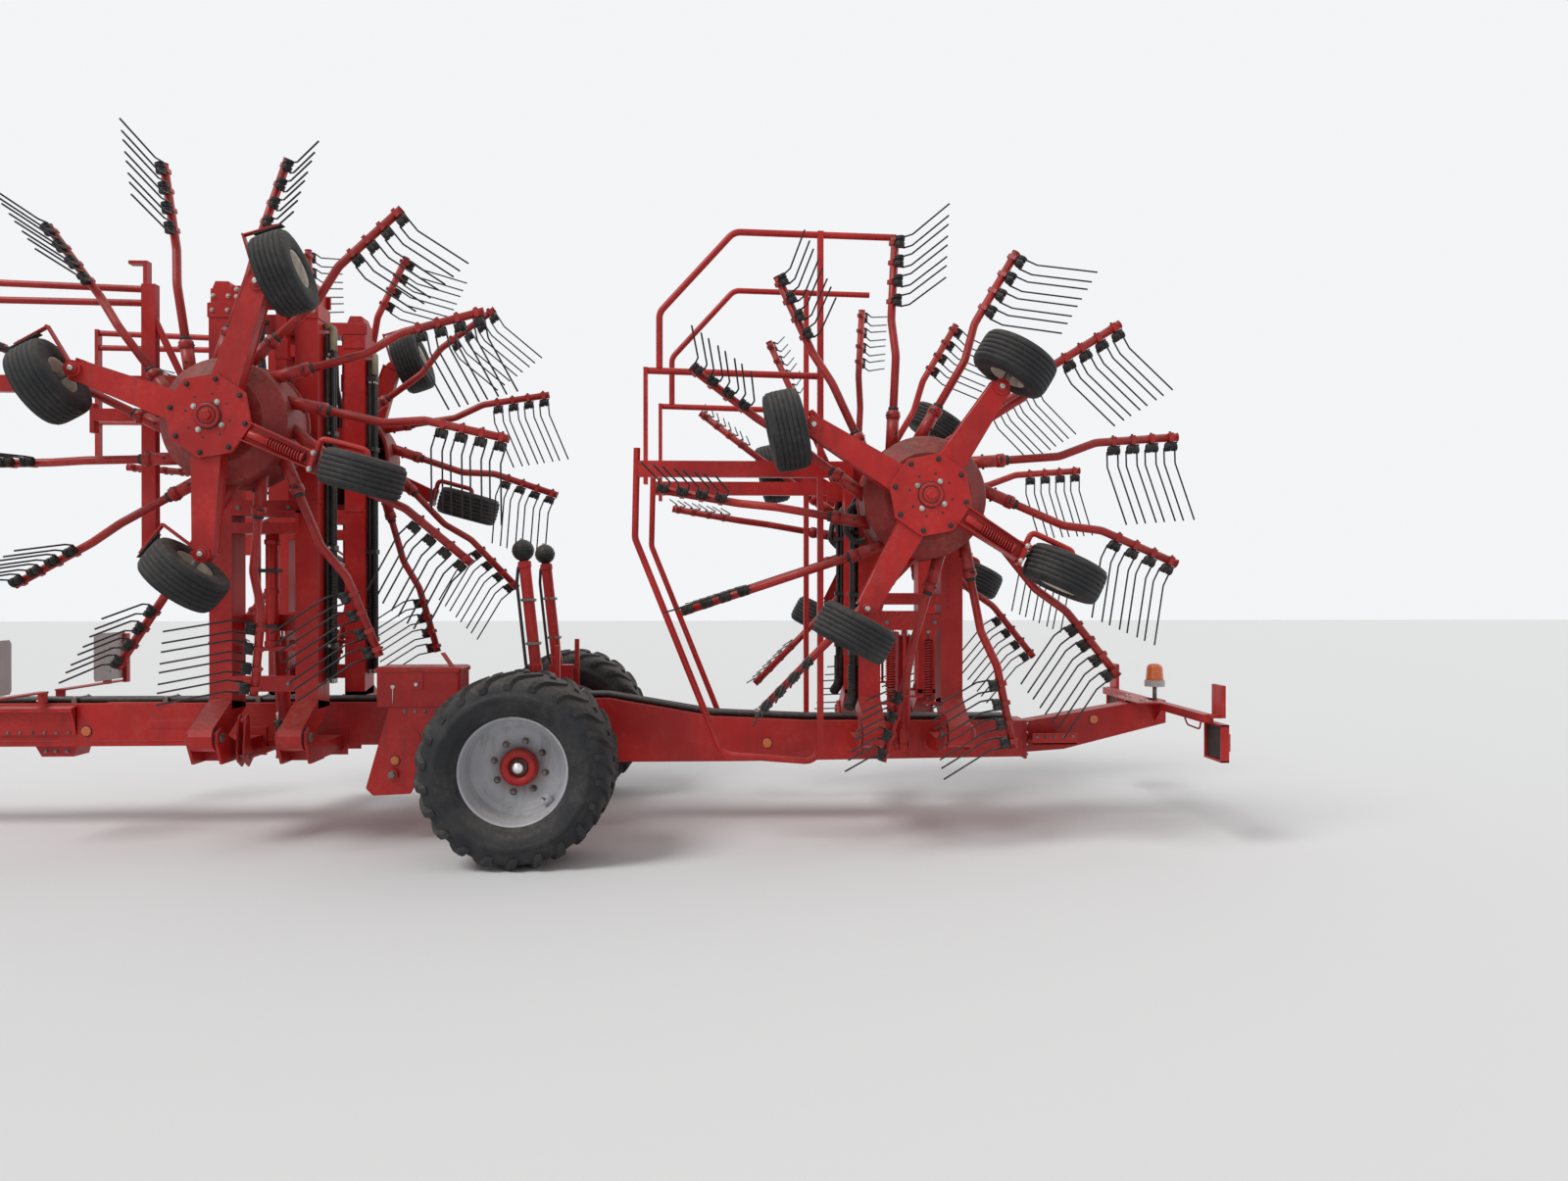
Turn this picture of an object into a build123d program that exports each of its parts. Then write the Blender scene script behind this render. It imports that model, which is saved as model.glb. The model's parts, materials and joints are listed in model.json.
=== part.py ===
from build123d import *
import math
import os

# Rotary rake with four rotors, folded upright for the road.
# Millimetres. +X is the way it travels, +Y its left side, +Z up, and the ground is Z = 0.
# X = 0 is the middle of its overall length. The left half is drawn, the right half is its mirror.

os.makedirs("parts", exist_ok=True)

# Overall
overall_length = 10100
tail_x = -overall_length / 2
nose_x = overall_length / 2
gap = 5          # running clearance between pieces that move past each other
seat = 0.3       # clearance at a fit or a seat

# Stations along the machine
axle_from_tail = 4100
rear_rotor_behind_axle = 2287
front_rotor_ahead_of_axle = 1630
axle_x = tail_x + axle_from_tail
rear_rotor_x = axle_x - rear_rotor_behind_axle
front_rotor_x = axle_x + front_rotor_ahead_of_axle
rear_rotor_z = 2050
front_rotor_z = 2463

# Main beam
beam_width = 260
front_beam_top = 800
front_beam_bottom = 530
dip_bottom = 410
hump_top = 820
rear_beam_top = 670
beam_nose_x = nose_x - 760
beam_tail_x = axle_x - 3096

# Road wheels
tyre_diameter = 1070
tyre_width = 600
tyre_inner_y = 795
wheel_y = tyre_inner_y + tyre_width / 2
rim_diameter = 605
axle_z = tyre_diameter / 2
lug_height = 14
lug_count = 22
stub_radius = 48

# Boom fold pivot
pivot_y = 755
pivot_z = 660
pivot_radius = 28
foot_radius = 80
fold_limit = 83

# Boom columns
boom_spacing = 510
column_width = 135
column_depth = 200
column_wall = 7
column_front_y = 550
column_y = column_front_y - column_depth / 2
column_foot_z = 800
front_column_top = 3250
rear_column_top = 2330

# Fold cylinder: base pin on the beam's side, rod pin on the boom's inner face
base_pin_y = 215
base_pin_z = 520
rod_pin_y = 290
rod_pin_z = 1300
cylinder_pin_radius = 16
barrel_radius = 45
barrel_length = 715
rod_radius = 24

# Rotor, measured out from the machine's middle plane
reel_plane_y = 980
drum_inner_y = 760
drum_outer_y = 1190
drum_radius = 350
hub_plate_y = 1300
hub_plate_thickness = 22
rotor_axle_radius = 46
gearbox_radius = 165

# Tine arms: each lies beside the rotor's centre, so it leaves the drum at a slant
# Lengths along the arm are counted from the foot of the square dropped on it from the rotor's centre
arm_count = 13
arm_aside = 190
arm_length = 1527
arm_tube_radius = 24
arm_bend = 160
socket_radius = 36
socket_start = 262
socket_end = 480
crank_start = 820
crank_end = 1040
crank_offset = 65
tine_reach = 490
tine_wire_radius = 5
coil_radius = 28
coil_length = 34
first_tine = 1146
tine_pitch = 113
tines_on_arm = 4

# Rotor wheels
rotor_wheel_diameter = 450
rotor_wheel_width = 205
rotor_wheel_reach = 870
rotor_wheel_bottom_y = 1495
rotor_wheel_y = rotor_wheel_bottom_y - rotor_wheel_diameter / 2
rotor_rim_diameter = 205

# Guards
guard_y = 700
guard_tube_radius = 20

# Arm angle, then how far the tine is rolled from pointing outward to lying in the reel's plane
# Both in degrees, the arm angle counter-clockwise as seen from the left side with the tail to the right
# The tip of an arm runs ahead of the arm's own direction by tip_lead
tip_lead = 5.9
roll_by_angle = {
    "front": [
        (-180, 0), (-110, 0), (-92, 55), (-60, 76), (-14, 88), (47, 88), (76, 37), (104, 0), (180, 0),
    ],
    "rear": [
        (-180, 9), (-150, 0), (-110, 0), (-92, 55), (-60, 76), (-14, 88), (40, 88), (68, 60), (97, 22),
        (125, 19), (152, 12), (180, 9),
    ],
}

# Rotor wheels seen from the left: name, arm angle, axle angle
rear_wheel_table = [
    ("a", 156, 12),
    ("b", 57, 59),
    ("c", 241, 62),
    ("d", 330, 65),
]
front_wheel_table = [
    ("a", 168, 28),
    ("b", 63, 19),
    ("c", 261, 50),
    ("d", 339, 75),
]


def send(shape, name):
    """Label one finished piece and write it."""
    shape.label = name
    export_step(shape, "parts/" + name + ".step")


def right_of(shape):
    """The right-hand piece is the left-hand one mirrored about the middle plane."""
    return mirror(shape, about=Plane.XZ)


def at(angle, radius):
    """Offset in X and Z of a point on a rotor, the angle seen from the left with the tail to the right."""
    turn = math.radians(angle)
    return -radius * math.cos(turn), radius * math.sin(turn)


def roll_at(angle, end):
    """Tine roll of an arm, worked out between the rows of the table."""
    wrapped = (angle + tip_lead + 180) % 360 - 180
    table = roll_by_angle[end]
    for (low, roll_low), (high, roll_high) in zip(table, table[1:]):
        if low <= wrapped <= high:
            share = (wrapped - low) / (high - low)
            return roll_low + share * (roll_high - roll_low)
    return 0


def tube(points, radius, bend):
    """A round tube along straight runs with its corners bent to one radius."""
    with BuildPart() as run:
        with BuildLine() as path:
            if len(points) > 2:
                FilletPolyline(*points, radius=bend)
            else:
                Line(*points)
        start = Plane(origin=path.line @ 0, z_dir=path.line % 0)
        with BuildSketch(start):
            Circle(radius)
        sweep(path=path.line)
    return run.part


# Boom mounts on the beam: box arm and cheek plates either side of each boom foot
cheek_thickness = 18
mount_arm_bottom = 500
mount_arm_top = 600
mount_arm_end_y = 600
mount_width = column_width + 2 * (gap + cheek_thickness)
lug_thickness = 16
eye_width = 50

# Underside of the cheeks, across and up: the rear ones leave room for the folded reel's arm tips
cheek_underside = {
    front_rotor_x: [(735, mount_arm_bottom)],
    rear_rotor_x: [(585, mount_arm_bottom), (606, 545), (740, 560)],
}

beam_top_line = [
    (beam_nose_x, front_beam_top),
    (axle_x + 720, front_beam_top),
    (axle_x + 470, hump_top),
    (axle_x - 390, hump_top),
    (axle_x - 1064, rear_beam_top + 30),
    (axle_x - 1685, rear_beam_top),
    (beam_tail_x, rear_beam_top - 5),
]
beam_bottom_line = [
    (beam_tail_x, dip_bottom + 20),
    (axle_x - 1250, dip_bottom),
    (axle_x + 650, dip_bottom),
    (axle_x + 1000, front_beam_bottom),
    (beam_nose_x, front_beam_bottom),
]

with BuildPart() as chassis_beam:
    with BuildSketch(Plane.XZ):
        with BuildLine():
            Polyline(*beam_top_line, *beam_bottom_line, close=True)
        make_face()
    extrude(amount=beam_width / 2, both=True)
    for rotor_x in (rear_rotor_x, front_rotor_x):
        for side in (-1, 1):
            for step_x in (-boom_spacing / 2, boom_spacing / 2):
                column_x = rotor_x + step_x
                arm_middle_y = (beam_width / 2 + mount_arm_end_y) / 2
                arm_middle_z = (mount_arm_bottom + mount_arm_top) / 2
                with Locations((column_x, side * arm_middle_y, arm_middle_z)):
                    Box(mount_width, mount_arm_end_y - beam_width / 2, mount_arm_top - mount_arm_bottom)
                for face in (-1, 1):
                    cheek_x = column_x + face * (mount_width - cheek_thickness) / 2
                    with BuildSketch(Plane.YZ.offset(cheek_x)):
                        with BuildLine():
                            Polyline(
                                (side * (mount_arm_end_y - 90), mount_arm_bottom),
                                *[(side * across, up) for across, up in cheek_underside[rotor_x]],
                                (side * (pivot_y + 52), pivot_z - 30),
                                (side * (pivot_y + 52), pivot_z + 34),
                                (side * (pivot_y - 6), pivot_z + 58),
                                (side * (pivot_y - 60), pivot_z + 20),
                                (side * (mount_arm_end_y - 90), mount_arm_top),
                                close=True,
                            )
                        make_face()
                    extrude(amount=cheek_thickness / 2, both=True)
                with Locations(Location((column_x, side * pivot_y, pivot_z), (0, 90, 0))):
                    Cylinder(pivot_radius, mount_width + 24)
            for face in (-1, 1):
                lug_x = rotor_x + face * (eye_width / 2 + gap + lug_thickness / 2)
                with BuildSketch(Plane.YZ.offset(lug_x)):
                    with BuildLine():
                        Polyline(
                            (side * (beam_width / 2 - 10), base_pin_z + 80),
                            (side * (beam_width / 2 + 45), base_pin_z + 80),
                            (side * (base_pin_y + 36), base_pin_z + 10),
                            (side * (base_pin_y + 24), base_pin_z - 34),
                            (side * (base_pin_y - 30), base_pin_z - 34),
                            (side * (beam_width / 2 - 10), base_pin_z + 20),
                            close=True,
                        )
                    make_face()
                extrude(amount=lug_thickness / 2, both=True)
            with Locations(Location((rotor_x, side * base_pin_y, base_pin_z), (0, 90, 0))):
                Cylinder(cylinder_pin_radius, eye_width + 2 * (gap + lug_thickness) + 12)
send(chassis_beam.part, "chassis_beam")


# Drawbar head: yoke, cross shaft for a tractor's lower links, and the drive input
link_shaft_x = nose_x - 60
link_shaft_z = 610
link_pin_radius = 18.3
link_pin_span = 960
link_pin_length = 130
head_width = 340
input_radius = 17.5
input_z = 760

with BuildPart() as headstock:
    with BuildSketch(Plane.XZ):
        with BuildLine():
            Polyline(
                (beam_nose_x + seat, front_beam_bottom + 10),
                (beam_nose_x + seat, front_beam_top - 10),
                (beam_nose_x + 330, front_beam_top - 10),
                (nose_x - 130, link_shaft_z + 110),
                (nose_x, link_shaft_z + 45),
                (nose_x, link_shaft_z - 45),
                (nose_x - 130, link_shaft_z - 70),
                close=True,
            )
        make_face()
    extrude(amount=90, both=True)
    with Locations((beam_nose_x + 14 + seat, 0, (front_beam_top + front_beam_bottom) / 2)):
        Box(28, head_width, front_beam_top - front_beam_bottom + 40)
    with Locations((link_shaft_x, 0, link_shaft_z)):
        Box(110, link_pin_span - 2 * link_pin_length, 110)
    for side in (-1, 1):
        with BuildSketch(Plane.XY.offset(link_shaft_z - 45)):
            with BuildLine():
                Polyline(
                    (beam_nose_x + 28, side * 90),
                    (beam_nose_x + 28, side * (head_width / 2)),
                    (link_shaft_x - 40, side * (link_pin_span / 2 - link_pin_length)),
                    (link_shaft_x - 40, side * 90),
                    close=True,
                )
            make_face()
        extrude(amount=24)
    with Locations(Location((link_shaft_x, 0, link_shaft_z), (90, 0, 0))):
        Cylinder(link_pin_radius, link_pin_span)
    with Locations(Location((nose_x - 210, 0, input_z), (0, 90, 0))):
        Cylinder(52, 200)
    with Locations(Location((nose_x - 95, 0, input_z), (0, 90, 0))):
        Cylinder(input_radius, 150)
send(headstock.part, "headstock")


# Parking stand: square leg through a socket on the beam's left cheek, round foot on the ground
stand_x = nose_x - 980
stand_y = beam_width / 2 + 70
stand_foot_radius = 130
stand_leg = 80

with BuildPart() as parking_stand:
    with Locations((stand_x, stand_y, 8)):
        Cylinder(stand_foot_radius, 16)
    with Locations((stand_x, stand_y, 470)):
        Box(stand_leg, stand_leg, 916)
    with Locations((stand_x, stand_y - 8, 660)):
        Box(stand_leg + 34, stand_leg + 50, 200)
    with Locations((stand_x, stand_y, 965)):
        Cylinder(26, 90)
    with Locations(Location((stand_x, stand_y + 70, 985), (90, 0, 0))):
        Cylinder(9, 150)
    with Locations((stand_x, 0, 660)):
        Box(400, beam_width + 2 * seat, 400, mode=Mode.SUBTRACT)
send(parking_stand.part, "parking_stand")


# Carriage: axle tube with stubs, its hanging side plates ahead of the wheels, and their cross tubes
axle_tube = 170
axle_top = axle_z + axle_tube / 2
carriage_plate_y = 610
carriage_plate_top = 822
carriage_plate = [
    (axle_x + 440, carriage_plate_top),
    (axle_x + 860, carriage_plate_top),
    (axle_x + 1000, 330),
    (axle_x + 960, 290),
    (axle_x + 740, 300),
    (axle_x + 600, 560),
    (axle_x + 440, 640),
]

with BuildPart() as carriage:
    with Locations((axle_x, 0, axle_z)):
        Box(axle_tube, 2 * 700, axle_tube)
    with Locations((axle_x, 0, axle_z)):
        Box(400, beam_width + 60, 200)
    for side in (-1, 1):
        with Locations(Location((axle_x, side * 830, axle_z), (90, 0, 0))):
            Cylinder(stub_radius, 300)
        with Locations(Location((axle_x, side * 715, axle_z), (90, 0, 0))):
            Cylinder(110, 40)
        with BuildSketch(Plane.XZ.offset(-side * carriage_plate_y)):
            with BuildLine():
                Polyline(*carriage_plate, close=True)
            make_face()
        extrude(amount=12, both=True)
        with Locations((axle_x + 330, side * carriage_plate_y, axle_z + 60)):
            Box(560, 90, 110)
        with Locations((axle_x + 700, side * 370, 640)):
            Box(160, 480, 120)
        with Locations(Location((axle_x + 840, side * carriage_plate_y, 420), (90, 0, 0))):
            Cylinder(34, 90)
    with BuildSketch(Plane.XZ):
        with BuildLine():
            Polyline(*beam_top_line, *beam_bottom_line, close=True)
        make_face()
        offset(amount=seat)
    extrude(amount=beam_width / 2 + seat, both=True, mode=Mode.SUBTRACT)
send(carriage.part, "carriage")


# Tail beam: rises from the main beam's end to a cross-bar with its lamp arms
tail_width = 150
cross_bar_x = tail_x + 110
cross_bar_z = 765
cross_bar_length = 1900
shelf_length = 290
lamp_x = tail_x + 50
lamp_y = 950

with BuildPart() as tail_frame:
    with BuildSketch(Plane.XZ):
        with BuildLine():
            Polyline(
                (beam_tail_x - seat, rear_beam_top - 20),
                (cross_bar_x + 60, 790),
                (tail_x + 40, 790),
                (tail_x + 40, 640),
                (beam_tail_x - 280, 470),
                (beam_tail_x - seat, dip_bottom + 40),
                close=True,
            )
        make_face()
    extrude(amount=tail_width / 2, both=True)
    with Locations((beam_tail_x - 10 - seat, 0, (rear_beam_top + dip_bottom) / 2)):
        Box(20, beam_width, rear_beam_top - dip_bottom - 10)
    with Locations((cross_bar_x, 0, cross_bar_z)):
        Box(60, cross_bar_length, 50)
    for side in (-1, 1):
        with Locations((beam_tail_x - shelf_length / 2 - 24, side * (tail_width / 2 + 90), 530)):
            Box(shelf_length, 190, 12)
        with Locations((beam_tail_x - shelf_length / 2 - 24, side * (tail_width / 2 + 179), 560)):
            Box(shelf_length, 12, 72)
        with Locations((lamp_x, side * lamp_y, cross_bar_z + 105)):
            Box(24, 150, 190)
        with Locations(((lamp_x + cross_bar_x) / 2, side * lamp_y, cross_bar_z + 15)):
            Box(cross_bar_x - lamp_x + 24, 60, 20)
send(tail_frame.part, "tail_frame")


# Tail lamps in their frames, hung below the ends of the cross-bar
with BuildPart() as tail_lights:
    for side in (-1, 1):
        with Locations((lamp_x + 5, side * (lamp_y - 20), cross_bar_z - 25 - 110 - seat)):
            Box(50, 250, 220)
        with Locations((lamp_x - 35, side * (lamp_y - 20), cross_bar_z - 25 - 110 - seat)):
            Box(30, 180, 120)
send(tail_lights.part, "tail_lights")


# Warning beacon on its stem
beacon_radius = 66
beacon_y = 60

with BuildPart() as beacon:
    with Locations((cross_bar_x, beacon_y, cross_bar_z + 25 + 45 + seat)):
        Cylinder(14, 90)
    with Locations((cross_bar_x, beacon_y, cross_bar_z + 136)):
        Cylinder(beacon_radius, 44)
    with BuildSketch(Plane.XY.offset(cross_bar_z + 158)) as beacon_base:
        with Locations((cross_bar_x, beacon_y)):
            Circle(beacon_radius - 8)
    extrude(amount=110, taper=6)
send(beacon.part, "beacon")


# Front sign boards on their bent arms, one each side, blank
board_y = 670
board_width = 420
board_height = 330
board_x = axle_x + 3166
board_low_z = 890

with BuildPart() as front_boards:
    for side in (-1, 1):
        with Locations((board_x, side * board_y, board_low_z + board_height / 2)):
            Box(6, board_width, board_height)
        with Locations((board_x + 18 + 3, side * board_y, board_low_z + board_height / 2 - 50)):
            Box(36, 50, board_height - 40)
        shelf_width = board_y - beam_width / 2 + 25 + 60
        with Locations((board_x + 21, side * (board_y + 25 - shelf_width / 2), board_low_z - 20)):
            Box(60, shelf_width, 12)
        post_height = board_low_z - 20 - front_beam_top - seat
        with Locations((board_x + 21, side * (beam_width / 2 - 30), board_low_z - 20 - post_height / 2)):
            Box(60, 12, post_height)
send(front_boards.part, "front_boards")


# Toolbox on the beam's left side ahead of the wheels, with its lid and latch flap
toolbox_length = 500
toolbox_height = 240
toolbox_depth = 250
toolbox_x = axle_x + 690
toolbox_y = carriage_plate_y - toolbox_depth / 2 + 20
toolbox_low_z = carriage_plate_top + seat

with BuildPart() as toolbox:
    with Locations((toolbox_x, toolbox_y, toolbox_low_z + toolbox_height / 2)):
        Box(toolbox_length, toolbox_depth, toolbox_height)
    fillet(toolbox.edges().filter_by(Axis.Z), 22)
    with Locations((toolbox_x, toolbox_y, toolbox_low_z + toolbox_height - 20)):
        Box(toolbox_length + 16, toolbox_depth + 16, 26)
    with Locations((toolbox_x + 10, toolbox_y + toolbox_depth / 2 + 8, toolbox_low_z + 165)):
        Box(80, 20, 120)
send(toolbox.part, "toolbox")


# Pressure balls on two upright cylinders, and a short post, above the carriage
ball_radius = 68
ball_ahead = 104
ball_z = 1766
upright_foot_ahead = 20
upright_foot_z = 1000
upright_radius = 36
upright_y = 420

with BuildPart() as accumulators:
    for side in (-1, 1):
        foot = (axle_x + upright_foot_ahead, side * upright_y, upright_foot_z)
        ball = (axle_x + ball_ahead, side * upright_y, ball_z)
        add(tube([foot, ball], upright_radius, 0))
        with Locations(ball):
            Sphere(ball_radius)
        with Locations((axle_x - 10, side * upright_y, (axle_top + seat + 1005) / 2)):
            Box(160, 110, 1005 - axle_top - seat)
        with Locations((axle_x - 10, side * (upright_y - 130), 780)):
            Box(120, 200, 120)
        with Locations((axle_x - 112, side * (upright_y + 30), 960)):
            Box(30, 36, 440)
        with Locations((axle_x - 110, side * (upright_y + 30), 780)):
            Box(116, 60, 60)
    with BuildSketch(Plane.XZ):
        with BuildLine():
            Polyline(*beam_top_line, *beam_bottom_line, close=True)
        make_face()
        offset(amount=seat)
    extrude(amount=beam_width / 2 + seat, both=True, mode=Mode.SUBTRACT)
send(accumulators.part, "accumulators")


# Hoses clipped along the top of the beam
beam_hose_radius = 16

with BuildPart() as beam_hoses:
    for lane in range(4):
        lane_y = (lane - 1.5) * 2.4 * beam_hose_radius
        rest_z = beam_hose_radius + seat
        add(
            tube(
                [
                    (beam_nose_x - 60, lane_y, front_beam_top + rest_z),
                    (axle_x + 760, lane_y, front_beam_top + rest_z),
                    (axle_x + 470, lane_y, hump_top + rest_z + 4),
                    (axle_x - 380, lane_y, hump_top + rest_z + 4),
                    (axle_x - 1060, lane_y, rear_beam_top + 34 + rest_z),
                    (axle_x - 1690, lane_y, rear_beam_top + 4 + rest_z),
                    (beam_tail_x + 120, lane_y, rear_beam_top + rest_z),
                ],
                beam_hose_radius,
                300,
            )
        )
send(beam_hoses.part, "beam_hoses")


# Road wheels: flotation tyres with slanted lugs, deep dished rims
carcass_radius = tyre_diameter / 2 - lug_height
tyre_seat_radius = rim_diameter / 2
wheel_plane = Plane(origin=(axle_x, 0, axle_z), x_dir=(0, 1, 0), z_dir=(1, 0, 0))
wheel_axis = Axis((axle_x, 0, axle_z), (0, 1, 0))
tyre_section = [
    # share of the width, radius
    (0.11, tyre_seat_radius + seat),
    (0.0, carcass_radius - 110),
    (0.07, carcass_radius - 20),
    (0.30, carcass_radius),
    (0.70, carcass_radius),
    (0.93, carcass_radius - 20),
    (1.0, carcass_radius - 110),
    (0.89, tyre_seat_radius + seat),
]
lug_length = 0.44 * tyre_width
lug_width = 46
lug_skew = 22

with BuildPart() as tyre_left:
    with BuildSketch(wheel_plane):
        with BuildLine():
            tyre_outline = [(tyre_inner_y + share * tyre_width, radius) for share, radius in tyre_section]
            Polyline(*tyre_outline, close=True)
        make_face()
    revolve(axis=wheel_axis)
    for number in range(lug_count):
        for half in (-1, 1):
            turn = (number + (0.25 if half > 0 else -0.25)) * 360 / lug_count
            hub = Location((axle_x, wheel_y, axle_z), (0, turn, 0))
            lug_y = half * (tyre_width / 2 - 32 - lug_length / 2)
            place = Location((0, lug_y, carcass_radius - 12), (0, 0, half * lug_skew))
            with Locations(hub * place):
                Box(lug_width, lug_length, 2 * (lug_height + 9))
    with BuildSketch(wheel_plane):
        with Locations((wheel_y, tyre_diameter / 2 + 30)):
            Rectangle(tyre_width + 40, 60)
    revolve(axis=wheel_axis, mode=Mode.SUBTRACT)
send(tyre_left.part, "tyre_left")
send(right_of(tyre_left.part), "tyre_right")

rim_inner_y = tyre_inner_y + 0.11 * tyre_width
rim_outer_y = tyre_inner_y + 0.89 * tyre_width
dish_y = tyre_inner_y + 300
hub_radius = 105
hub_inner_y = tyre_inner_y + 25
hub_outer_y = dish_y + 95
rim_section = [
    (rim_inner_y, tyre_seat_radius),
    (rim_outer_y, tyre_seat_radius),
    (rim_outer_y, tyre_seat_radius - 20),
    (dish_y + 40, tyre_seat_radius - 34),
    (dish_y + 14, 170),
    (dish_y + 14, hub_radius),
    (hub_outer_y, hub_radius - 18),
    (hub_outer_y, 0),
    (985, 0),
    (985, stub_radius + seat),
    (hub_inner_y, stub_radius + seat),
    (hub_inner_y, hub_radius),
    (dish_y - 4, hub_radius),
    (dish_y - 4, 180),
    (dish_y - 30, tyre_seat_radius - 24),
    (rim_inner_y, tyre_seat_radius - 18),
]

with BuildPart() as rim_left:
    with BuildSketch(wheel_plane):
        with BuildLine():
            Polyline(*rim_section, close=True)
        make_face()
    revolve(axis=wheel_axis)
send(rim_left.part, "rim_left")
send(right_of(rim_left.part), "rim_right")


# Booms: two columns with slanted feet on the fold pivots, and the cross members between them
column_gap = boom_spacing - column_width
rod_lug_x = eye_width / 2 + gap + lug_thickness / 2
rear_cross_rows = [
    # low z, high z, inner y, outer y
    (1275, 1371, 350, 550),
    (1431, 1497, 350, 550),
    (1900, 2200, 350, 550),
]
front_cross_rows = [
    (909, 1003, 505, 550),
    (1270, 1370, 350, 375),
    (1863, 1928, 350, 550),
    (1969, 2063, 350, 550),
    (3100, 3180, 350, 550),
]


def boom(rotor_x, column_top, cross_rows, hollow):
    """One left boom without its hoses."""
    with BuildPart() as frame:
        for step_x in (-boom_spacing / 2, boom_spacing / 2):
            column_x = rotor_x + step_x
            with Locations((column_x, column_y, (column_foot_z + column_top) / 2)):
                Box(column_width, column_depth, column_top - column_foot_z)
            with BuildSketch(Plane.YZ.offset(column_x)):
                with BuildLine():
                    Polyline(
                        (column_front_y - column_depth, column_foot_z),
                        (column_front_y, column_foot_z),
                        (column_front_y, column_foot_z + 60),
                        (pivot_y + 46, pivot_z + 64),
                        (pivot_y, pivot_z),
                        (pivot_y - 52, pivot_z - 60),
                        close=True,
                    )
                make_face()
                with Locations((pivot_y, pivot_z)):
                    Circle(foot_radius)
            extrude(amount=column_width / 2, both=True)
            with Locations(Location((column_x, pivot_y, pivot_z), (0, 90, 0))):
                Cylinder(pivot_radius + seat, column_width + 10, mode=Mode.SUBTRACT)
            if hollow:
                floor_z = column_foot_z + 40
                with Locations((column_x, column_y, (floor_z + column_top) / 2 + 10)):
                    Box(
                        column_width - 2 * column_wall,
                        column_depth - 2 * column_wall,
                        column_top - floor_z + 20,
                        mode=Mode.SUBTRACT,
                    )
        for low_z, high_z, inner_y, outer_y in cross_rows:
            with Locations((rotor_x, (inner_y + outer_y) / 2, (low_z + high_z) / 2)):
                Box(column_gap, outer_y - inner_y, high_z - low_z)
        for face in (-1, 1):
            with BuildSketch(Plane.YZ.offset(rotor_x + face * rod_lug_x)):
                with BuildLine():
                    Polyline(
                        (column_front_y - column_depth, rod_pin_z + 66),
                        (rod_pin_y - 30, rod_pin_z + 26),
                        (rod_pin_y - 36, rod_pin_z - 22),
                        (rod_pin_y, rod_pin_z - 36),
                        (column_front_y - column_depth, rod_pin_z - 24),
                        close=True,
                    )
                make_face()
            extrude(amount=lug_thickness / 2, both=True)
    return frame.part


# The rear booms' coil springs hang from the lower cross member to brackets on the columns
spring_core_radius = 31
spring_y = 500
spring_offset_x = 116
spring_low_z = 865
spring_high_z = 1215
head_plate_y = column_front_y + 15
hanger_depth = 50
frame_back_y = head_plate_y + hanger_depth


def rear_springs(rotor_x):
    with BuildPart() as springs:
        for side in (-1, 1):
            spring_x = rotor_x + side * spring_offset_x
            with Locations((spring_x, spring_y, (spring_low_z + spring_high_z) / 2)):
                Cylinder(spring_core_radius, spring_high_z - spring_low_z)
            with Locations((spring_x, spring_y, (spring_high_z + 1275) / 2 + 5)):
                Cylinder(8, 1275 - spring_high_z + 20)
            with Locations((spring_x, spring_y, spring_low_z - 25)):
                Cylinder(8, 60)
            with Locations((rotor_x + side * (column_gap / 2 - 45), spring_y, spring_low_z - 45)):
                Box(110, 60, 16)
    return springs.part


with BuildPart() as boom_rear_left:
    add(boom(rear_rotor_x, rear_column_top, rear_cross_rows, False))
    add(rear_springs(rear_rotor_x))
    with Locations((rear_rotor_x, (column_front_y - 10 + frame_back_y) / 2, rear_rotor_z)):
        Box(360, frame_back_y - column_front_y + 10, 280)
send(boom_rear_left.part, "boom_rear_left")
send(right_of(boom_rear_left.part), "boom_rear_right")

with BuildPart() as boom_front_left:
    add(boom(front_rotor_x, front_column_top, front_cross_rows, True))
send(boom_front_left.part, "boom_front_left")
send(right_of(boom_front_left.part), "boom_front_right")


# Hoses down the tail side of the front booms, held by three clips and turned into the column at the top
boom_hose_radius = 14
boom_hose_low_z = 950
boom_hose_top_z = 3090
boom_hose_lanes = [
    # out from the column's side, y, how much higher it ends
    (18, 400, 0),
    (18, 436, 0),
    (50, 400, 45),
    (50, 436, 45),
]
hose_clip_rows = [1180, 1780, 2480, 2960]

with BuildPart() as boom_hoses_front_left:
    column_side_x = front_rotor_x - boom_spacing / 2 - column_width / 2 - seat
    for out, lane_y, higher in boom_hose_lanes:
        lane_x = column_side_x - out
        end_z = boom_hose_top_z + higher
        run = [(lane_x, lane_y, boom_hose_low_z), (lane_x, lane_y, end_z)]
        if higher:
            add(tube([*run, (column_side_x, lane_y, end_z)], boom_hose_radius, 30))
        else:
            add(tube(run, boom_hose_radius, 0))
    for row_z in hose_clip_rows:
        with Locations((column_side_x - 34, 418, row_z)):
            Box(68, 76, 30)
send(boom_hoses_front_left.part, "boom_hoses_front_left")
send(right_of(boom_hoses_front_left.part), "boom_hoses_front_right")


# Inner telescopes of the front booms, with the head and the two hangers that carry the rotor
telescope_foot_z = 900
telescope_head_z = front_column_top + seat
telescope_head_height = 85
hanger_x = 130
hanger_width = 60
telescope_pad_height = 160

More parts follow.
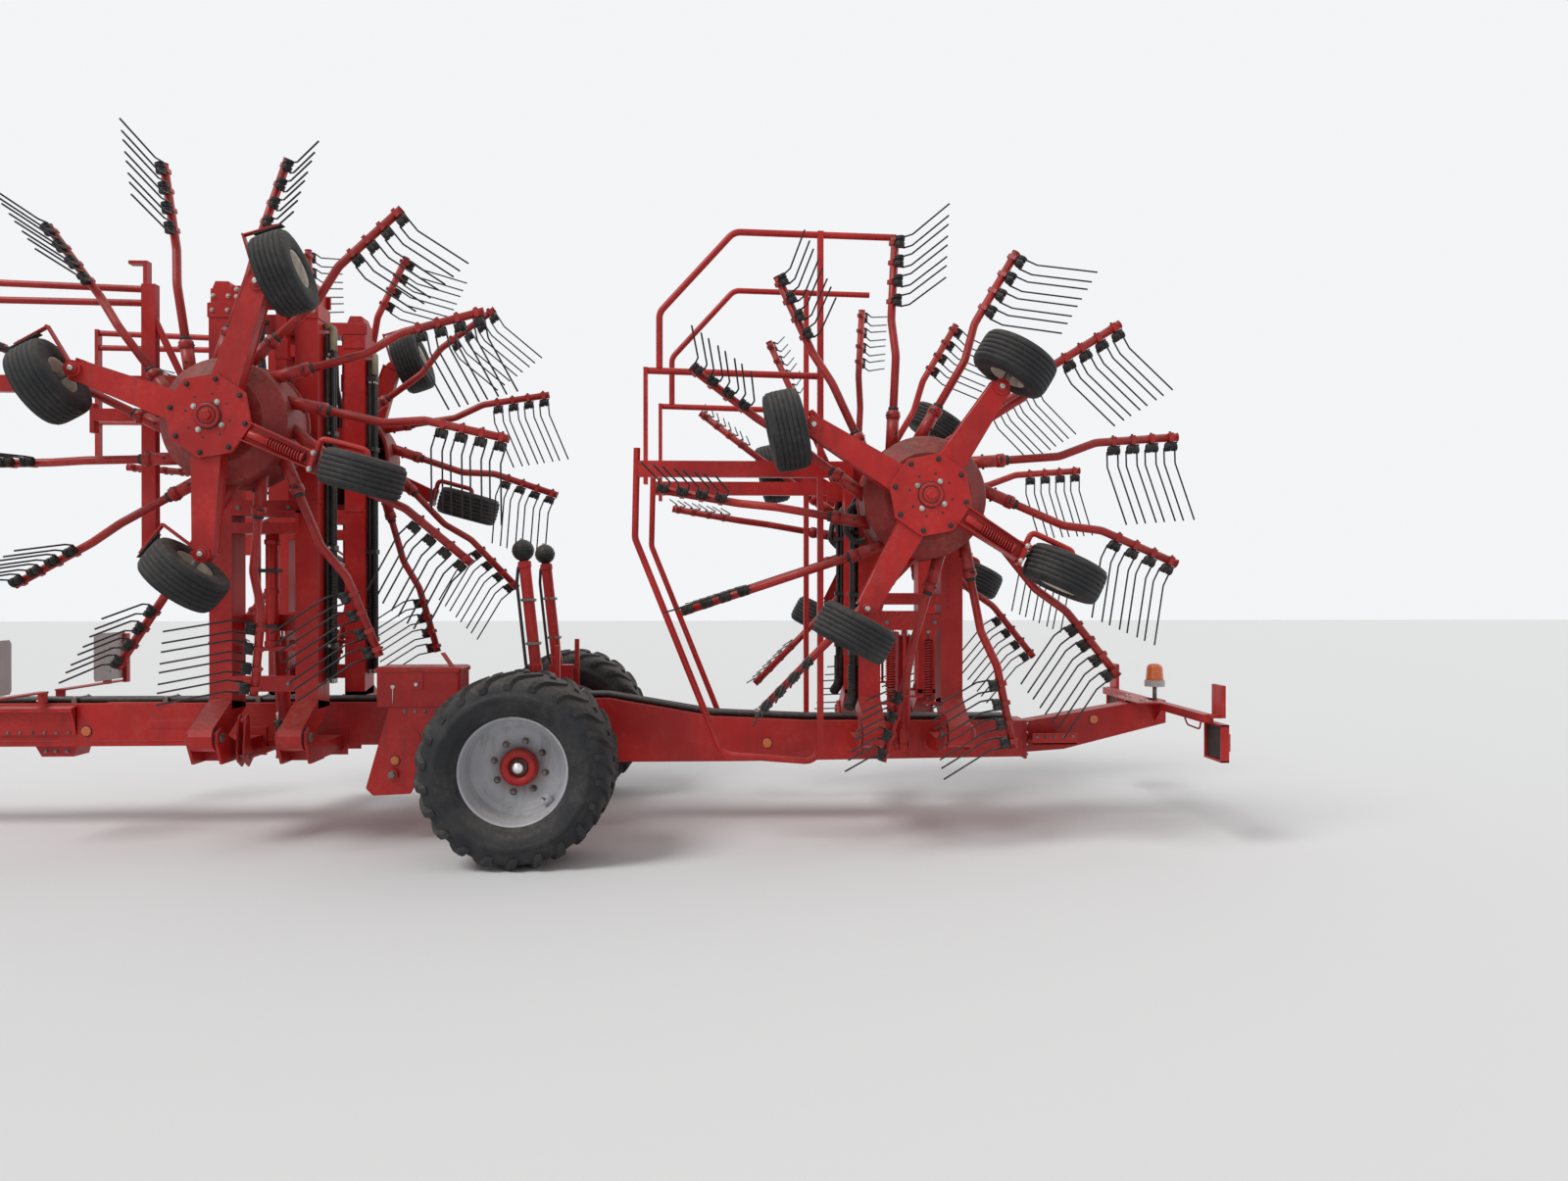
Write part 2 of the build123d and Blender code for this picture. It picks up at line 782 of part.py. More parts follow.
with BuildPart() as telescope_left:
    for step_x in (-boom_spacing / 2, boom_spacing / 2):
        with Locations((front_rotor_x + step_x, column_y, (telescope_foot_z + telescope_head_z) / 2)):
            Box(
                column_width - 2 * (column_wall + gap),
                column_depth - 2 * (column_wall + gap),
                telescope_head_z - telescope_foot_z,
            )
        half_pad = telescope_pad_height / 2
        for pad_z in (telescope_foot_z + half_pad, front_column_top - half_pad):
            with Locations((front_rotor_x + step_x, column_y, pad_z)):
                Box(
                    column_width - 2 * (column_wall + seat),
                    column_depth - 2 * (column_wall + seat),
                    telescope_pad_height,
                )
    with Locations((front_rotor_x, column_y, telescope_head_z + telescope_head_height / 2)):
        Box(boom_spacing + 120, column_depth - 20, telescope_head_height)
    hanger_low_z = front_rotor_z - 190
    hanger_top_z = telescope_head_z + telescope_head_height
    for side in (-1, 1):
        one_x = front_rotor_x + side * hanger_x
        with Locations((one_x, head_plate_y + hanger_depth / 2, (hanger_low_z + hanger_top_z) / 2)):
            Box(hanger_width, hanger_depth, hanger_top_z - hanger_low_z)
        with Locations((one_x, head_plate_y - 10, hanger_top_z - telescope_head_height / 2)):
            Box(hanger_width, 80, telescope_head_height)
send(telescope_left.part, "telescope_left")
send(right_of(telescope_left.part), "telescope_right")


# Fold cylinders, drawn along the line from the base pin to the rod pin
rest_length = math.hypot(rod_pin_y - base_pin_y, rod_pin_z - base_pin_z)
lean = math.degrees(math.atan2(rod_pin_y - base_pin_y, rod_pin_z - base_pin_z))
barrel_foot = 110
rod_inner_end = 132
gland_length = 40
bore_radius = rod_radius + 8


def cylinder_place(rotor_x, along):
    """A place on the fold cylinder's line, its Z pointing to the rod pin."""
    base = Location((rotor_x, base_pin_y, base_pin_z), (-lean, 0, 0))
    return base * Location((0, 0, along))


def barrel(rotor_x):
    with BuildPart() as piece:
        with Locations(cylinder_place(rotor_x, (barrel_length + barrel_foot) / 2)):
            Cylinder(barrel_radius, barrel_length - barrel_foot)
        with Locations(cylinder_place(rotor_x, 0) * Location((0, 0, 0), (0, 90, 0))):
            Cylinder(38, eye_width)
        with Locations(cylinder_place(rotor_x, 70)):
            Box(eye_width, 60, 100)
        with Locations(cylinder_place(rotor_x, 0) * Location((0, 0, 0), (0, 90, 0))):
            Cylinder(cylinder_pin_radius + seat, eye_width + 10, mode=Mode.SUBTRACT)
        with Locations(cylinder_place(rotor_x, (barrel_length - gland_length + rod_inner_end - 8) / 2)):
            Cylinder(bore_radius, barrel_length - gland_length - rod_inner_end + 8, mode=Mode.SUBTRACT)
        with Locations(cylinder_place(rotor_x, barrel_length - gland_length / 2)):
            Cylinder(rod_radius + seat, gland_length + 10, mode=Mode.SUBTRACT)
    return piece.part


def rod(rotor_x):
    with BuildPart() as piece:
        with Locations(cylinder_place(rotor_x, (rod_inner_end + rest_length - 20) / 2)):
            Cylinder(rod_radius, rest_length - 20 - rod_inner_end)
        with Locations(cylinder_place(rotor_x, rest_length) * Location((0, 0, 0), (0, 90, 0))):
            Cylinder(36, eye_width)
            Cylinder(cylinder_pin_radius, eye_width + 2 * gap - 2)
    return piece.part


for name, rotor_x in (("front", front_rotor_x), ("rear", rear_rotor_x)):
    send(barrel(rotor_x), "fold_barrel_" + name + "_left")
    send(right_of(barrel(rotor_x)), "fold_barrel_" + name + "_right")
    send(rod(rotor_x), "fold_rod_" + name + "_left")
    send(right_of(rod(rotor_x)), "fold_rod_" + name + "_right")


# Rotor frames: gearbox on the boom, fixed axle through the drum, hub plate and the four wheel arms
hub_plate_radius = 235
hub_plate_back_y = hub_plate_y - hub_plate_thickness
wheel_arm_back_y = hub_plate_back_y - 76
wheel_arm_root = 110
wheel_arm_root_width = 168
wheel_arm_end_width = 112
trail_arm_width = 96
stub_reach = rotor_wheel_width / 2 + 46
wheel_stub_radius = 20
yoke_clearance = 40
yoke_half = 66
strut_reach = (235, 545)
strut_radius = 25
strut_y = hub_plate_back_y + 8


def wheel_centre(arm_angle):
    return at(arm_angle, rotor_wheel_reach)


def flat_arm(points, rotor_x, rotor_z, back_y, front_y):
    """A plate or flat box arm from its outline around the rotor's centre."""
    with BuildPart() as arm:
        with BuildSketch(Plane.XZ.offset(-front_y)):
            with BuildLine():
                Polyline(*[(rotor_x + x, rotor_z + z) for x, z in points], close=True)
            make_face()
        extrude(amount=front_y - back_y)
    return arm.part


def strip(start, end, start_width, end_width):
    """Outline of a straight tapered arm between two points."""
    length = math.hypot(end[0] - start[0], end[1] - start[1])
    across = (-(end[1] - start[1]) / length, (end[0] - start[0]) / length)
    return [
        (start[0] + across[0] * start_width / 2, start[1] + across[1] * start_width / 2),
        (end[0] + across[0] * end_width / 2, end[1] + across[1] * end_width / 2),
        (end[0] - across[0] * end_width / 2, end[1] - across[1] * end_width / 2),
        (start[0] - across[0] * start_width / 2, start[1] - across[1] * start_width / 2),
    ]


def rotor_frame(rotor_x, rotor_z, wheel_table):
    """One left rotor frame."""
    stub_low_y = rotor_wheel_y - 35
    stub_high_y = rotor_wheel_y + 35
    with BuildPart() as frame:
        with Locations((rotor_x, frame_back_y + 15, rotor_z)):
            Box(440, 30, 380)
        gearbox_y = (frame_back_y + 10, drum_inner_y - 15)
        with Locations(Location((rotor_x, sum(gearbox_y) / 2, rotor_z), (90, 0, 0))):
            Cylinder(gearbox_radius, gearbox_y[1] - gearbox_y[0])
        with Locations(Location((rotor_x, (drum_inner_y - 20 + hub_plate_y) / 2, rotor_z), (90, 0, 0))):
            Cylinder(rotor_axle_radius, hub_plate_y - drum_inner_y + 20)
        with BuildSketch(Plane.XZ.offset(-hub_plate_y)):
            with Locations((rotor_x, rotor_z)):
                RegularPolygon(hub_plate_radius, 8, rotation=12)
        extrude(amount=hub_plate_thickness)
        with Locations(Location((rotor_x, hub_plate_y + 10, rotor_z), (90, 0, 0))):
            Cylinder(68, 20)
        for label, arm_angle, axle_angle in wheel_table:
            centre = wheel_centre(arm_angle)
            inward = at(axle_angle, 1)
            toward = 1 if inward[0] * centre[0] + inward[1] * centre[1] < 0 else -1
            axle = (toward * inward[0], toward * inward[1])
            end = (centre[0] + axle[0] * stub_reach, centre[1] + axle[1] * stub_reach)
            root = at(arm_angle, wheel_arm_root)
            if label == "d":
                roll = (axle[1], -axle[0])
                if roll[0] * centre[0] + roll[1] * centre[1] > 0:
                    roll = (-roll[0], -roll[1])
                ahead = rotor_wheel_diameter / 2 + yoke_clearance
                yoke = (centre[0] + roll[0] * ahead, centre[1] + roll[1] * ahead)
                side = rotor_wheel_width / 2 + 30
                path = [
                    (yoke[0] - axle[0] * 20, yoke[1] - axle[1] * 20),
                    (yoke[0] + axle[0] * side, yoke[1] + axle[1] * side),
                    (centre[0] + axle[0] * side, centre[1] + axle[1] * side),
                    (centre[0] + axle[0] * 50, centre[1] + axle[1] * 50),
                ]
                spring = [at(arm_angle, reach) for reach in strut_reach]
                arm_outline = strip(root, yoke, wheel_arm_root_width * 0.7, trail_arm_width)
                add(flat_arm(arm_outline, rotor_x, rotor_z, wheel_arm_back_y, hub_plate_back_y))
                low_end, high_end = [
                    (yoke[0] + axle[0] * way, yoke[1] + axle[1] * way) for way in (-yoke_half, yoke_half)
                ]
                plate_outline = strip(low_end, high_end, 22, 22)
                add(flat_arm(plate_outline, rotor_x, rotor_z, stub_low_y - 15, stub_high_y + 20))
                fork = [(rotor_x + x, rotor_wheel_y, rotor_z + z) for x, z in path]
                add(tube(fork, wheel_stub_radius - 3, 36))
                add(tube([(rotor_x + x, strut_y, rotor_z + z) for x, z in spring], strut_radius, 0))
                end = path[-1]
            else:
                arm_outline = strip(root, end, wheel_arm_root_width, wheel_arm_end_width)
                add(flat_arm(arm_outline, rotor_x, rotor_z, wheel_arm_back_y, hub_plate_back_y))
                boss = (rotor_x + end[0], rotor_wheel_y - 14, rotor_z + end[1])
                with Locations(Location(boss, (90, 0, 0))):
                    Cylinder(46, 72)
            stub = Plane(
                origin=(rotor_x + end[0], rotor_wheel_y, rotor_z + end[1]),
                z_dir=(centre[0] - end[0], 0, centre[1] - end[1]),
            )
            stub_length = math.hypot(centre[0] - end[0], centre[1] - end[1]) + 60
            with BuildSketch(stub):
                Circle(wheel_stub_radius)
            extrude(amount=stub_length)
    return frame.part


# The small wheels: ribbed tyre on a dished rim, drawn as one section around the stub axle
rotor_tyre_section = [
    # offset along the axle as a share of half the width, radius
    (-0.82, rotor_rim_diameter / 2),
    (-1.0, rotor_wheel_diameter / 2 - 62),
    (-0.72, rotor_wheel_diameter / 2),
    (0.72, rotor_wheel_diameter / 2),
    (1.0, rotor_wheel_diameter / 2 - 62),
    (0.82, rotor_rim_diameter / 2),
    (0.78, rotor_rim_diameter / 2 - 12),
    (0.14, rotor_rim_diameter / 2 - 22),
    (0.12, 42),
    (0.5, 38),
    (0.5, wheel_stub_radius + seat),
    (-0.5, wheel_stub_radius + seat),
    (-0.5, 38),
    (-0.02, 42),
    (-0.04, rotor_rim_diameter / 2 - 22),
    (-0.78, rotor_rim_diameter / 2 - 12),
]


def rotor_wheel(rotor_x, rotor_z, arm_angle, axle_angle):
    centre = wheel_centre(arm_angle)
    along = at(axle_angle, 1)
    origin = Vector(rotor_x + centre[0], rotor_wheel_y, rotor_z + centre[1])
    axle_dir = Vector(along[0], 0, along[1])
    plane = Plane(origin=origin, x_dir=axle_dir, z_dir=axle_dir.cross(Vector(0, 1, 0)))
    outline = [(share * rotor_wheel_width / 2, radius) for share, radius in rotor_tyre_section]
    with BuildPart() as wheel:
        with BuildSketch(plane):
            with BuildLine():
                Polyline(*outline, close=True)
            make_face()
        revolve(axis=Axis(origin, axle_dir))
    return wheel.part


# Reels: open drum, thirteen sockets, cranked arms and their double tines
drum_wall = 13
drum_section = [
    # y, radius
    (drum_outer_y, rotor_axle_radius + seat),
    (drum_outer_y, 250),
    (drum_outer_y - 90, drum_radius),
    (drum_inner_y + 15, drum_radius),
    (drum_inner_y + 15, drum_radius - drum_wall),
    (drum_outer_y - 95, drum_radius - drum_wall),
    (drum_outer_y - drum_wall, 245),
    (drum_outer_y - drum_wall, 80),
    (drum_inner_y + 5, 80),
    (drum_inner_y + 5, rotor_axle_radius + seat),
]
coil_middle = coil_radius + arm_tube_radius - 2
tine_kink_share = 0.30
tine_kink_back = -6
tine_lean = 80


def tine_arm():
    """One arm lying along X, its tines toward +Y, as a single solid."""
    outer_y = -crank_offset
    line = [(socket_start, 0, 0), (crank_start, 0, 0), (crank_end, outer_y, 0), (arm_length, outer_y, 0)]
    kink_y = outer_y + tine_kink_share * tine_reach
    with BuildPart() as arm:
        add(tube(line, arm_tube_radius, arm_bend))
        with Locations(Location(((socket_start + socket_end) / 2, 0, 0), (0, 90, 0))):
            Cylinder(socket_radius, socket_end - socket_start)
        with Locations(Location((socket_end, 0, 0), (0, 90, 0))):
            Cylinder(socket_radius + 6, 30)
        for number in range(tines_on_arm):
            tine_x = first_tine + number * tine_pitch
            coil_y = outer_y + coil_middle
            with Locations((tine_x, outer_y + 18, 0)):
                Box(16, 56, 56)
            for half in (-1, 1):
                coil_x = tine_x + half * (coil_length / 2 + 3)
                with Locations(Location((coil_x, coil_y, 0), (0, 90, 0))):
                    Cylinder(coil_radius, coil_length - 8)
                leg_x = coil_x + half * (coil_length / 2 - 10)
                add(
                    tube(
                        [
                            (leg_x, coil_y, coil_radius - tine_wire_radius),
                            (leg_x + tine_kink_back, kink_y, coil_radius - 8),
                            (leg_x + tine_lean, outer_y + tine_reach, coil_radius - 14),
                        ],
                        tine_wire_radius,
                        30,
                    )
                )
    return arm.part


arm_shape = tine_arm()


def reel(end, rotor_x, rotor_z, phase):
    """One left reel, its first arm at the phase angle."""
    places = []
    for number in range(arm_count):
        angle = phase + number * 360 / arm_count
        roll = math.radians(roll_at(angle, end))
        reach = at(angle, 1)
        sideways = at(angle - 90, 1)
        radial = Vector(reach[0], 0, reach[1])
        tine = Vector(math.sin(roll) * sideways[0], math.cos(roll), math.sin(roll) * sideways[1])
        foot = (rotor_x - arm_aside * sideways[0], reel_plane_y, rotor_z - arm_aside * sideways[1])
        places.append(Plane(origin=foot, x_dir=radial, z_dir=radial.cross(tine)).location)
    arms = [place * arm_shape for place in places]
    section_plane = Plane(origin=(rotor_x, 0, rotor_z), x_dir=(0, 1, 0), z_dir=(1, 0, 0))
    with BuildPart() as whole:
        with BuildSketch(section_plane):
            with BuildLine():
                Polyline(*drum_section, close=True)
            make_face()
        revolve(axis=Axis((rotor_x, 0, rotor_z), (0, 1, 0)))
        add(arms)
    return whole.part


# Guards: post, hoop and rails on an arm from the rotor frame, given ahead of and above the rotor's centre
post_depth = 56
rear_guard_tubes = [
    [(113, 1593), (1087, 1616), (1532, 1130), (1532, 796)],
    [(1625, 783), (575, 756)],
    [(1666, 320), (1678, -218), (1158, -1515), (599, -1560), (555, -1442)],
]
rear_guard_flats = [
    # low and high corner ahead, low and high corner up
    (551, 587, -1519, 1622),
    (1602, 1626, 104, 800),
    (372, 1660, 147, 243),
]
front_guard_tubes = [
    [(591, 822), (1628, 858)],
    [(591, 742), (1628, 755)],
    [(591, 700), (405, 300)],
]
front_guard_flats = [
    (551, 631, -700, 850),
    (596, 620, 840, 985),
    (596, 704, 965, 985),
    (1616, 1640, -60, 880),
    (372, 1640, 216, 312),
    (600, 915, 45, 120),
    (903, 927, -22, 150),
]


def guard(rotor_x, rotor_z, tubes, flats, arm_z):
    """One left guard with its bracket back to the rotor frame's plate."""
    with BuildPart() as hoop:
        for points in tubes:
            add(
                tube(
                    [(rotor_x + ahead, guard_y, rotor_z + up) for ahead, up in points],
                    guard_tube_radius,
                    90,
                )
            )
        for near, far, low, high in flats:
            with Locations((rotor_x + (near + far) / 2, guard_y, rotor_z + (low + high) / 2)):
                Box(far - near, post_depth, high - low)
        with Locations((rotor_x + 400, (frame_back_y + guard_y + 20) / 2, rotor_z + arm_z)):
            Box(56, guard_y + 20 - frame_back_y, 92)
        with Locations((rotor_x + 324, frame_back_y + 15, rotor_z + (100 + arm_z + 46) / 2)):
            Box(208 - 2 * seat, 30, arm_z + 46 - 100)
    return hoop.part


rotor_table = [
    # name, x, z, wheel table, left phase, right phase
    ("front", front_rotor_x, front_rotor_z, front_wheel_table, 98.4, 92.1),
    ("rear", rear_rotor_x, rear_rotor_z, rear_wheel_table, 87.3, 87.1),
]
guard_shapes = {
    "front": (front_guard_tubes, front_guard_flats, 264),
    "rear": (rear_guard_tubes, rear_guard_flats, 195),
}

for name, rotor_x, rotor_z, wheel_table, left_phase, right_phase in rotor_table:
    frame_shape = rotor_frame(rotor_x, rotor_z, wheel_table)
    send(frame_shape, "rotor_frame_" + name + "_left")
    send(right_of(frame_shape), "rotor_frame_" + name + "_right")
    tubes, flats, arm_z = guard_shapes[name]
    guard_shape = guard(rotor_x, rotor_z, tubes, flats, arm_z)
    send(guard_shape, "guard_" + name + "_left")
    send(right_of(guard_shape), "guard_" + name + "_right")
    send(reel(name, rotor_x, rotor_z, left_phase), "reel_" + name + "_left")
    send(right_of(reel(name, rotor_x, rotor_z, right_phase)), "reel_" + name + "_right")
    for label, arm_angle, axle_angle in wheel_table:
        wheel_shape = rotor_wheel(rotor_x, rotor_z, arm_angle, axle_angle)
        send(wheel_shape, "rotor_wheel_" + name + "_left_" + label)
        send(right_of(wheel_shape), "rotor_wheel_" + name + "_right_" + label)
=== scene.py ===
# Rotary rake with four rotors, folded for the road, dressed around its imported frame.
# Metres. +X is the way it travels, +Y its left side, +Z up.
import json
import math

import bmesh
import bpy
from mathutils import Matrix, Vector

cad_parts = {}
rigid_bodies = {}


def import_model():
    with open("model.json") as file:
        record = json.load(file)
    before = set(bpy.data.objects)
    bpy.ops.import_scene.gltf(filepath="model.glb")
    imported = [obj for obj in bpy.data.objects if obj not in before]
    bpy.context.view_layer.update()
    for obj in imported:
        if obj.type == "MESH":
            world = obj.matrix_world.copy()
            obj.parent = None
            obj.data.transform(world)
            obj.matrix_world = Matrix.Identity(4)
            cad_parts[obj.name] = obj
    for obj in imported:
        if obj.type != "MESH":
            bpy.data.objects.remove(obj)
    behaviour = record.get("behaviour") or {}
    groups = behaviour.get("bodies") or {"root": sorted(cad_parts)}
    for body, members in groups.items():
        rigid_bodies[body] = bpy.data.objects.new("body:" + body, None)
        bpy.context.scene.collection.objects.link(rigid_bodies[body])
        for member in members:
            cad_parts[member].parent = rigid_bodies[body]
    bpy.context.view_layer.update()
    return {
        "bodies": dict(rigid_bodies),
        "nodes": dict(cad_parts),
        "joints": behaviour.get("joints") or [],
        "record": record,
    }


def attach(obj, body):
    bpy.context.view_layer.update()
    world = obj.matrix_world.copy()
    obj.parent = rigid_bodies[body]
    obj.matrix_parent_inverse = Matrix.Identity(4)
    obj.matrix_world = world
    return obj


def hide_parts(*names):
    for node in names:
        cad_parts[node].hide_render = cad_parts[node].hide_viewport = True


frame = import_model()
nodes = frame["nodes"]
jointPlace = {joint["name"]: Vector(joint["pos_m"]) for joint in frame["joints"] if "pos_m" in joint}

ends = ("front", "rear")
sides = ("left", "right")
axle = jointPlace["road_wheel_spin_left"]
rotorAt = {(end, side): jointPlace[f"reel_spin_{end}_{side}"] for end in ends for side in sides}


# Camera, worked out from the photograph's horizon and vanishing point
cameraView = {
    "lens": 27.0,
    "sensor": 36.0,
    "behindAxle": 1.204,
    "beside": 7.756,
    "height": 1.545,
    "yawToTail": 2.4,
    "pitchDown": 0.21,
}


def pick(sizes, *keys):
    return [sizes[key] for key in keys]


def linked(name, data):
    thing = bpy.data.objects.new(name, data)
    bpy.context.scene.collection.objects.link(thing)
    return thing


def placeCamera(view):
    data = bpy.data.cameras.new("photoCamera")
    data.lens = view["lens"]
    data.sensor_width = view["sensor"]
    camera = linked("photoCamera", data)
    yaw = math.radians(view["yawToTail"])
    look = Vector((-math.sin(yaw), -math.cos(yaw), -math.tan(math.radians(view["pitchDown"]))))
    camera.location = (axle.x - view["behindAxle"], view["beside"], view["height"])
    camera.rotation_euler = look.to_track_quat("-Z", "Y").to_euler()
    bpy.context.scene.camera = camera


class NodeMaker:
    # Adds nodes to one tree, each input given as a value or as another node's output
    def __init__(self, tree):
        self.tree = tree

    def feed(self, socket, value):
        if isinstance(value, bpy.types.NodeSocket):
            self.tree.links.new(value, socket)
        else:
            socket.default_value = (*value, 1) if socket.type == "RGBA" else value

    def add(self, kind, **inputs):
        node = self.tree.nodes.new(kind)
        for label, value in inputs.items():
            self.feed(node.inputs[label.replace("_", " ")], value)
        return node

    def sum(self, operation, first, second):
        node = self.tree.nodes.new("ShaderNodeMath")
        node.operation = operation
        node.use_clamp = True
        self.feed(node.inputs[0], first)
        self.feed(node.inputs[1], second)
        return node.outputs[0]

    def times(self, first, second):
        return self.sum("MULTIPLY", first, second)

    def plus(self, first, second):
        return self.sum("ADD", first, second)

    def noise(self, position, scale, detail, roughness=0.55):
        return self.add("ShaderNodeTexNoise", Vector=position, Scale=scale, Detail=detail,
                        Roughness=roughness).outputs["Fac"]

    def span(self, value, low, high):
        node = self.add("ShaderNodeMapRange", Value=value, From_Min=low, From_Max=high)
        node.interpolation_type = "SMOOTHSTEP"
        return node.outputs["Result"]

    def mix(self, share, first, second):
        node = self.tree.nodes.new("ShaderNodeMix")
        node.data_type = "RGBA"
        self.feed(node.inputs["Factor"], share)
        colours = [socket for socket in node.inputs if socket.type == "RGBA"]
        self.feed(colours[0], first)
        self.feed(colours[1], second)
        return next(socket for socket in node.outputs if socket.type == "RGBA")


def newMaterial(name, **inputs):
    material = bpy.data.materials.new(name)
    material.use_nodes = True
    maker = NodeMaker(material.node_tree)
    shader = material.node_tree.nodes["Principled BSDF"]
    for label, value in inputs.items():
        maker.feed(shader.inputs[label.replace("_", " ")], value)
    return material, maker, shader


studio = {
    "floorSize": 90.0,
    "floorColour": (0.80, 0.80, 0.79),
    "skyColour": (0.90, 0.91, 0.93),
    "skyShown": 1.0,
    "skyLight": 0.50,
    # each lamp's energy, angle and turn in degrees
    "lamps": {"keyLamp": (1.55, 24.0, (38.0, -18.0, 150.0)), "fillLamp": (0.55, 60.0, (62.0, 0.0, -60.0))},
}


def setStudio(values):
    world = bpy.data.worlds.new("studioWorld")
    world.use_nodes = True
    world.node_tree.nodes.clear()
    maker = NodeMaker(world.node_tree)
    path = maker.add("ShaderNodeLightPath")
    seen = maker.sum("MAXIMUM", path.outputs["Is Camera Ray"], path.outputs["Is Glossy Ray"])
    level = maker.add("ShaderNodeMapRange", Value=seen, To_Min=values["skyLight"], To_Max=values["skyShown"])
    background = maker.add("ShaderNodeBackground", Color=values["skyColour"], Strength=level.outputs[0])
    maker.add("ShaderNodeOutputWorld", Surface=background.outputs[0])
    bpy.context.scene.world = world
    bpy.context.scene.view_settings.view_transform = "Standard"
    for name, (energy, angle, turn) in values["lamps"].items():
        data = bpy.data.lights.new(name, "SUN")
        data.energy = energy
        data.angle = math.radians(angle)
        linked(name, data).rotation_euler = [math.radians(value) for value in turn]
    half = values["floorSize"] / 2
    mesh = bpy.data.meshes.new("studioFloor")
    mesh.from_pydata([(-half, -half, 0), (half, -half, 0), (half, half, 0), (-half, half, 0)], [],
                     [(0, 1, 2, 3)])
    mesh.materials.append(newMaterial("paleFloor", Base_Color=values["floorColour"], Roughness=0.9)[0])
    floor = linked("studioFloor", mesh)


placeCamera(cameraView)
setStudio(studio)
print("camera, lamps and floor placed")


# Shader node groups
def newGroup(name, inputs, outputs):
    group = bpy.data.node_groups.new(name, "ShaderNodeTree")
    for label, value in inputs:
        group.interface.new_socket(label, in_out="INPUT",
                                   socket_type="NodeSocketFloat").default_value = value
    for label in outputs:
        group.interface.new_socket(label, in_out="OUTPUT", socket_type="NodeSocketFloat")
    return group, NodeMaker(group), group.nodes.new("NodeGroupInput").outputs


def weatherGroup():
    # Dust that lies on what faces up, blotches in the colour, fine grain and vertical grime
    group, maker, given = newGroup("weather", [("Dust", 0.5), ("Blotch Scale", 2.5), ("Grain Scale", 240.0)],
                                   ["Dust Mask", "Blotch", "Grain", "Streaks"])
    place = maker.add("ShaderNodeTexCoord")
    position = place.outputs["Object"]
    facing = maker.add("ShaderNodeSeparateXYZ", Vector=place.outputs["Normal"])
    up = maker.span(facing.outputs["Z"], 0.1, 0.95)
    fine = maker.span(maker.noise(position, 34.0, 6.0, 0.65), 0.38, 0.66)
    coarse = maker.span(maker.noise(position, 5.0, 3.0), 0.35, 0.7)
    lying = maker.times(up, maker.plus(0.35, maker.times(fine, 0.65)))
    loose = maker.times(maker.times(coarse, fine), 0.35)
    stretch = maker.add("ShaderNodeMapping", Vector=position, Scale=(26.0, 26.0, 2.2))
    maker.add(
        "NodeGroupOutput",
        Dust_Mask=maker.times(maker.sum("MAXIMUM", lying, loose), given["Dust"]),
        Blotch=maker.noise(position, given["Blotch Scale"], 3.0),
        Grain=maker.noise(position, given["Grain Scale"], 2.0),
        Streaks=maker.span(maker.noise(stretch.outputs[0], 1.0, 4.0, 0.6), 0.52, 0.72),
    )
    return group


def wearGroup():
    # Paint rubbed off along edges and in small chips, found with a rounded copy of the normal
    group, maker, given = newGroup("paintWear", [("Edge", 0.5), ("Chips", 0.3)], ["Bare"])
    position = maker.add("ShaderNodeTexCoord").outputs["Object"]
    rough = maker.noise(position, 42.0, 5.0, 0.7)
    patch = maker.noise(position, 3.2, 2.0)
    rounded = maker.add("ShaderNodeBevel", Radius=0.006)
    rounded.samples = 3
    turned = maker.add("ShaderNodeVectorMath")
    turned.operation = "DOT_PRODUCT"
    maker.feed(turned.inputs[0], rounded.outputs[0])
    maker.feed(turned.inputs[1], maker.add("ShaderNodeNewGeometry").outputs["Normal"])
    edge = maker.span(turned.outputs["Value"], 0.985, 0.86)
    worn = maker.times(maker.times(edge, maker.span(rough, 0.42, 0.6)), given["Edge"])
    spots = maker.times(maker.span(rough, 0.665, 0.70), maker.span(patch, 0.5, 0.62))
    maker.add("NodeGroupOutput", Bare=maker.sum("MAXIMUM", worn, maker.times(spots, given["Chips"])))
    return group


weather = weatherGroup()
paintWear = wearGroup()
dustColour = (0.36, 0.30, 0.23)


def useGroup(maker, group, **values):
    node = maker.tree.nodes.new("ShaderNodeGroup")
    node.node_tree = group
    for label, value in values.items():
        maker.feed(node.inputs[label.replace("_", " ")], value)
    return node.outputs


def finishShader(maker, shader, colour, roughness, height, strength, distance):
    bump = maker.add("ShaderNodeBump", Strength=strength, Distance=distance, Height=height)
    for label, value in (("Base Color", colour), ("Roughness", roughness), ("Normal", bump.outputs[0])):
        maker.feed(shader.inputs[label], value)


def paintMaterial(name, light, deep, bare, dust, edge, chips, roughness, grime):
    material, maker, shader = newMaterial(name, Specular_IOR_Level=0.35, Coat_Weight=0.06,
                                          Coat_Roughness=0.2)
    aged = useGroup(maker, weather, Dust=dust)
    wear = useGroup(maker, paintWear, Edge=edge, Chips=chips)
    colour = maker.mix(maker.span(aged["Blotch"], 0.32, 0.68), deep, light)
    colour = maker.mix(maker.times(aged["Streaks"], grime), colour,
                       tuple(0.45 * value + 0.02 for value in deep))
    colour = maker.mix(wear["Bare"], colour, bare)
    colour = maker.mix(aged["Dust Mask"], colour, dustColour)
    matt = maker.plus(maker.times(aged["Dust Mask"], 0.45), roughness)
    matt = maker.plus(matt, maker.times(aged["Streaks"], 0.12))
    finishShader(maker, shader, colour, matt, aged["Grain"], 0.12, 0.0006)
    return material


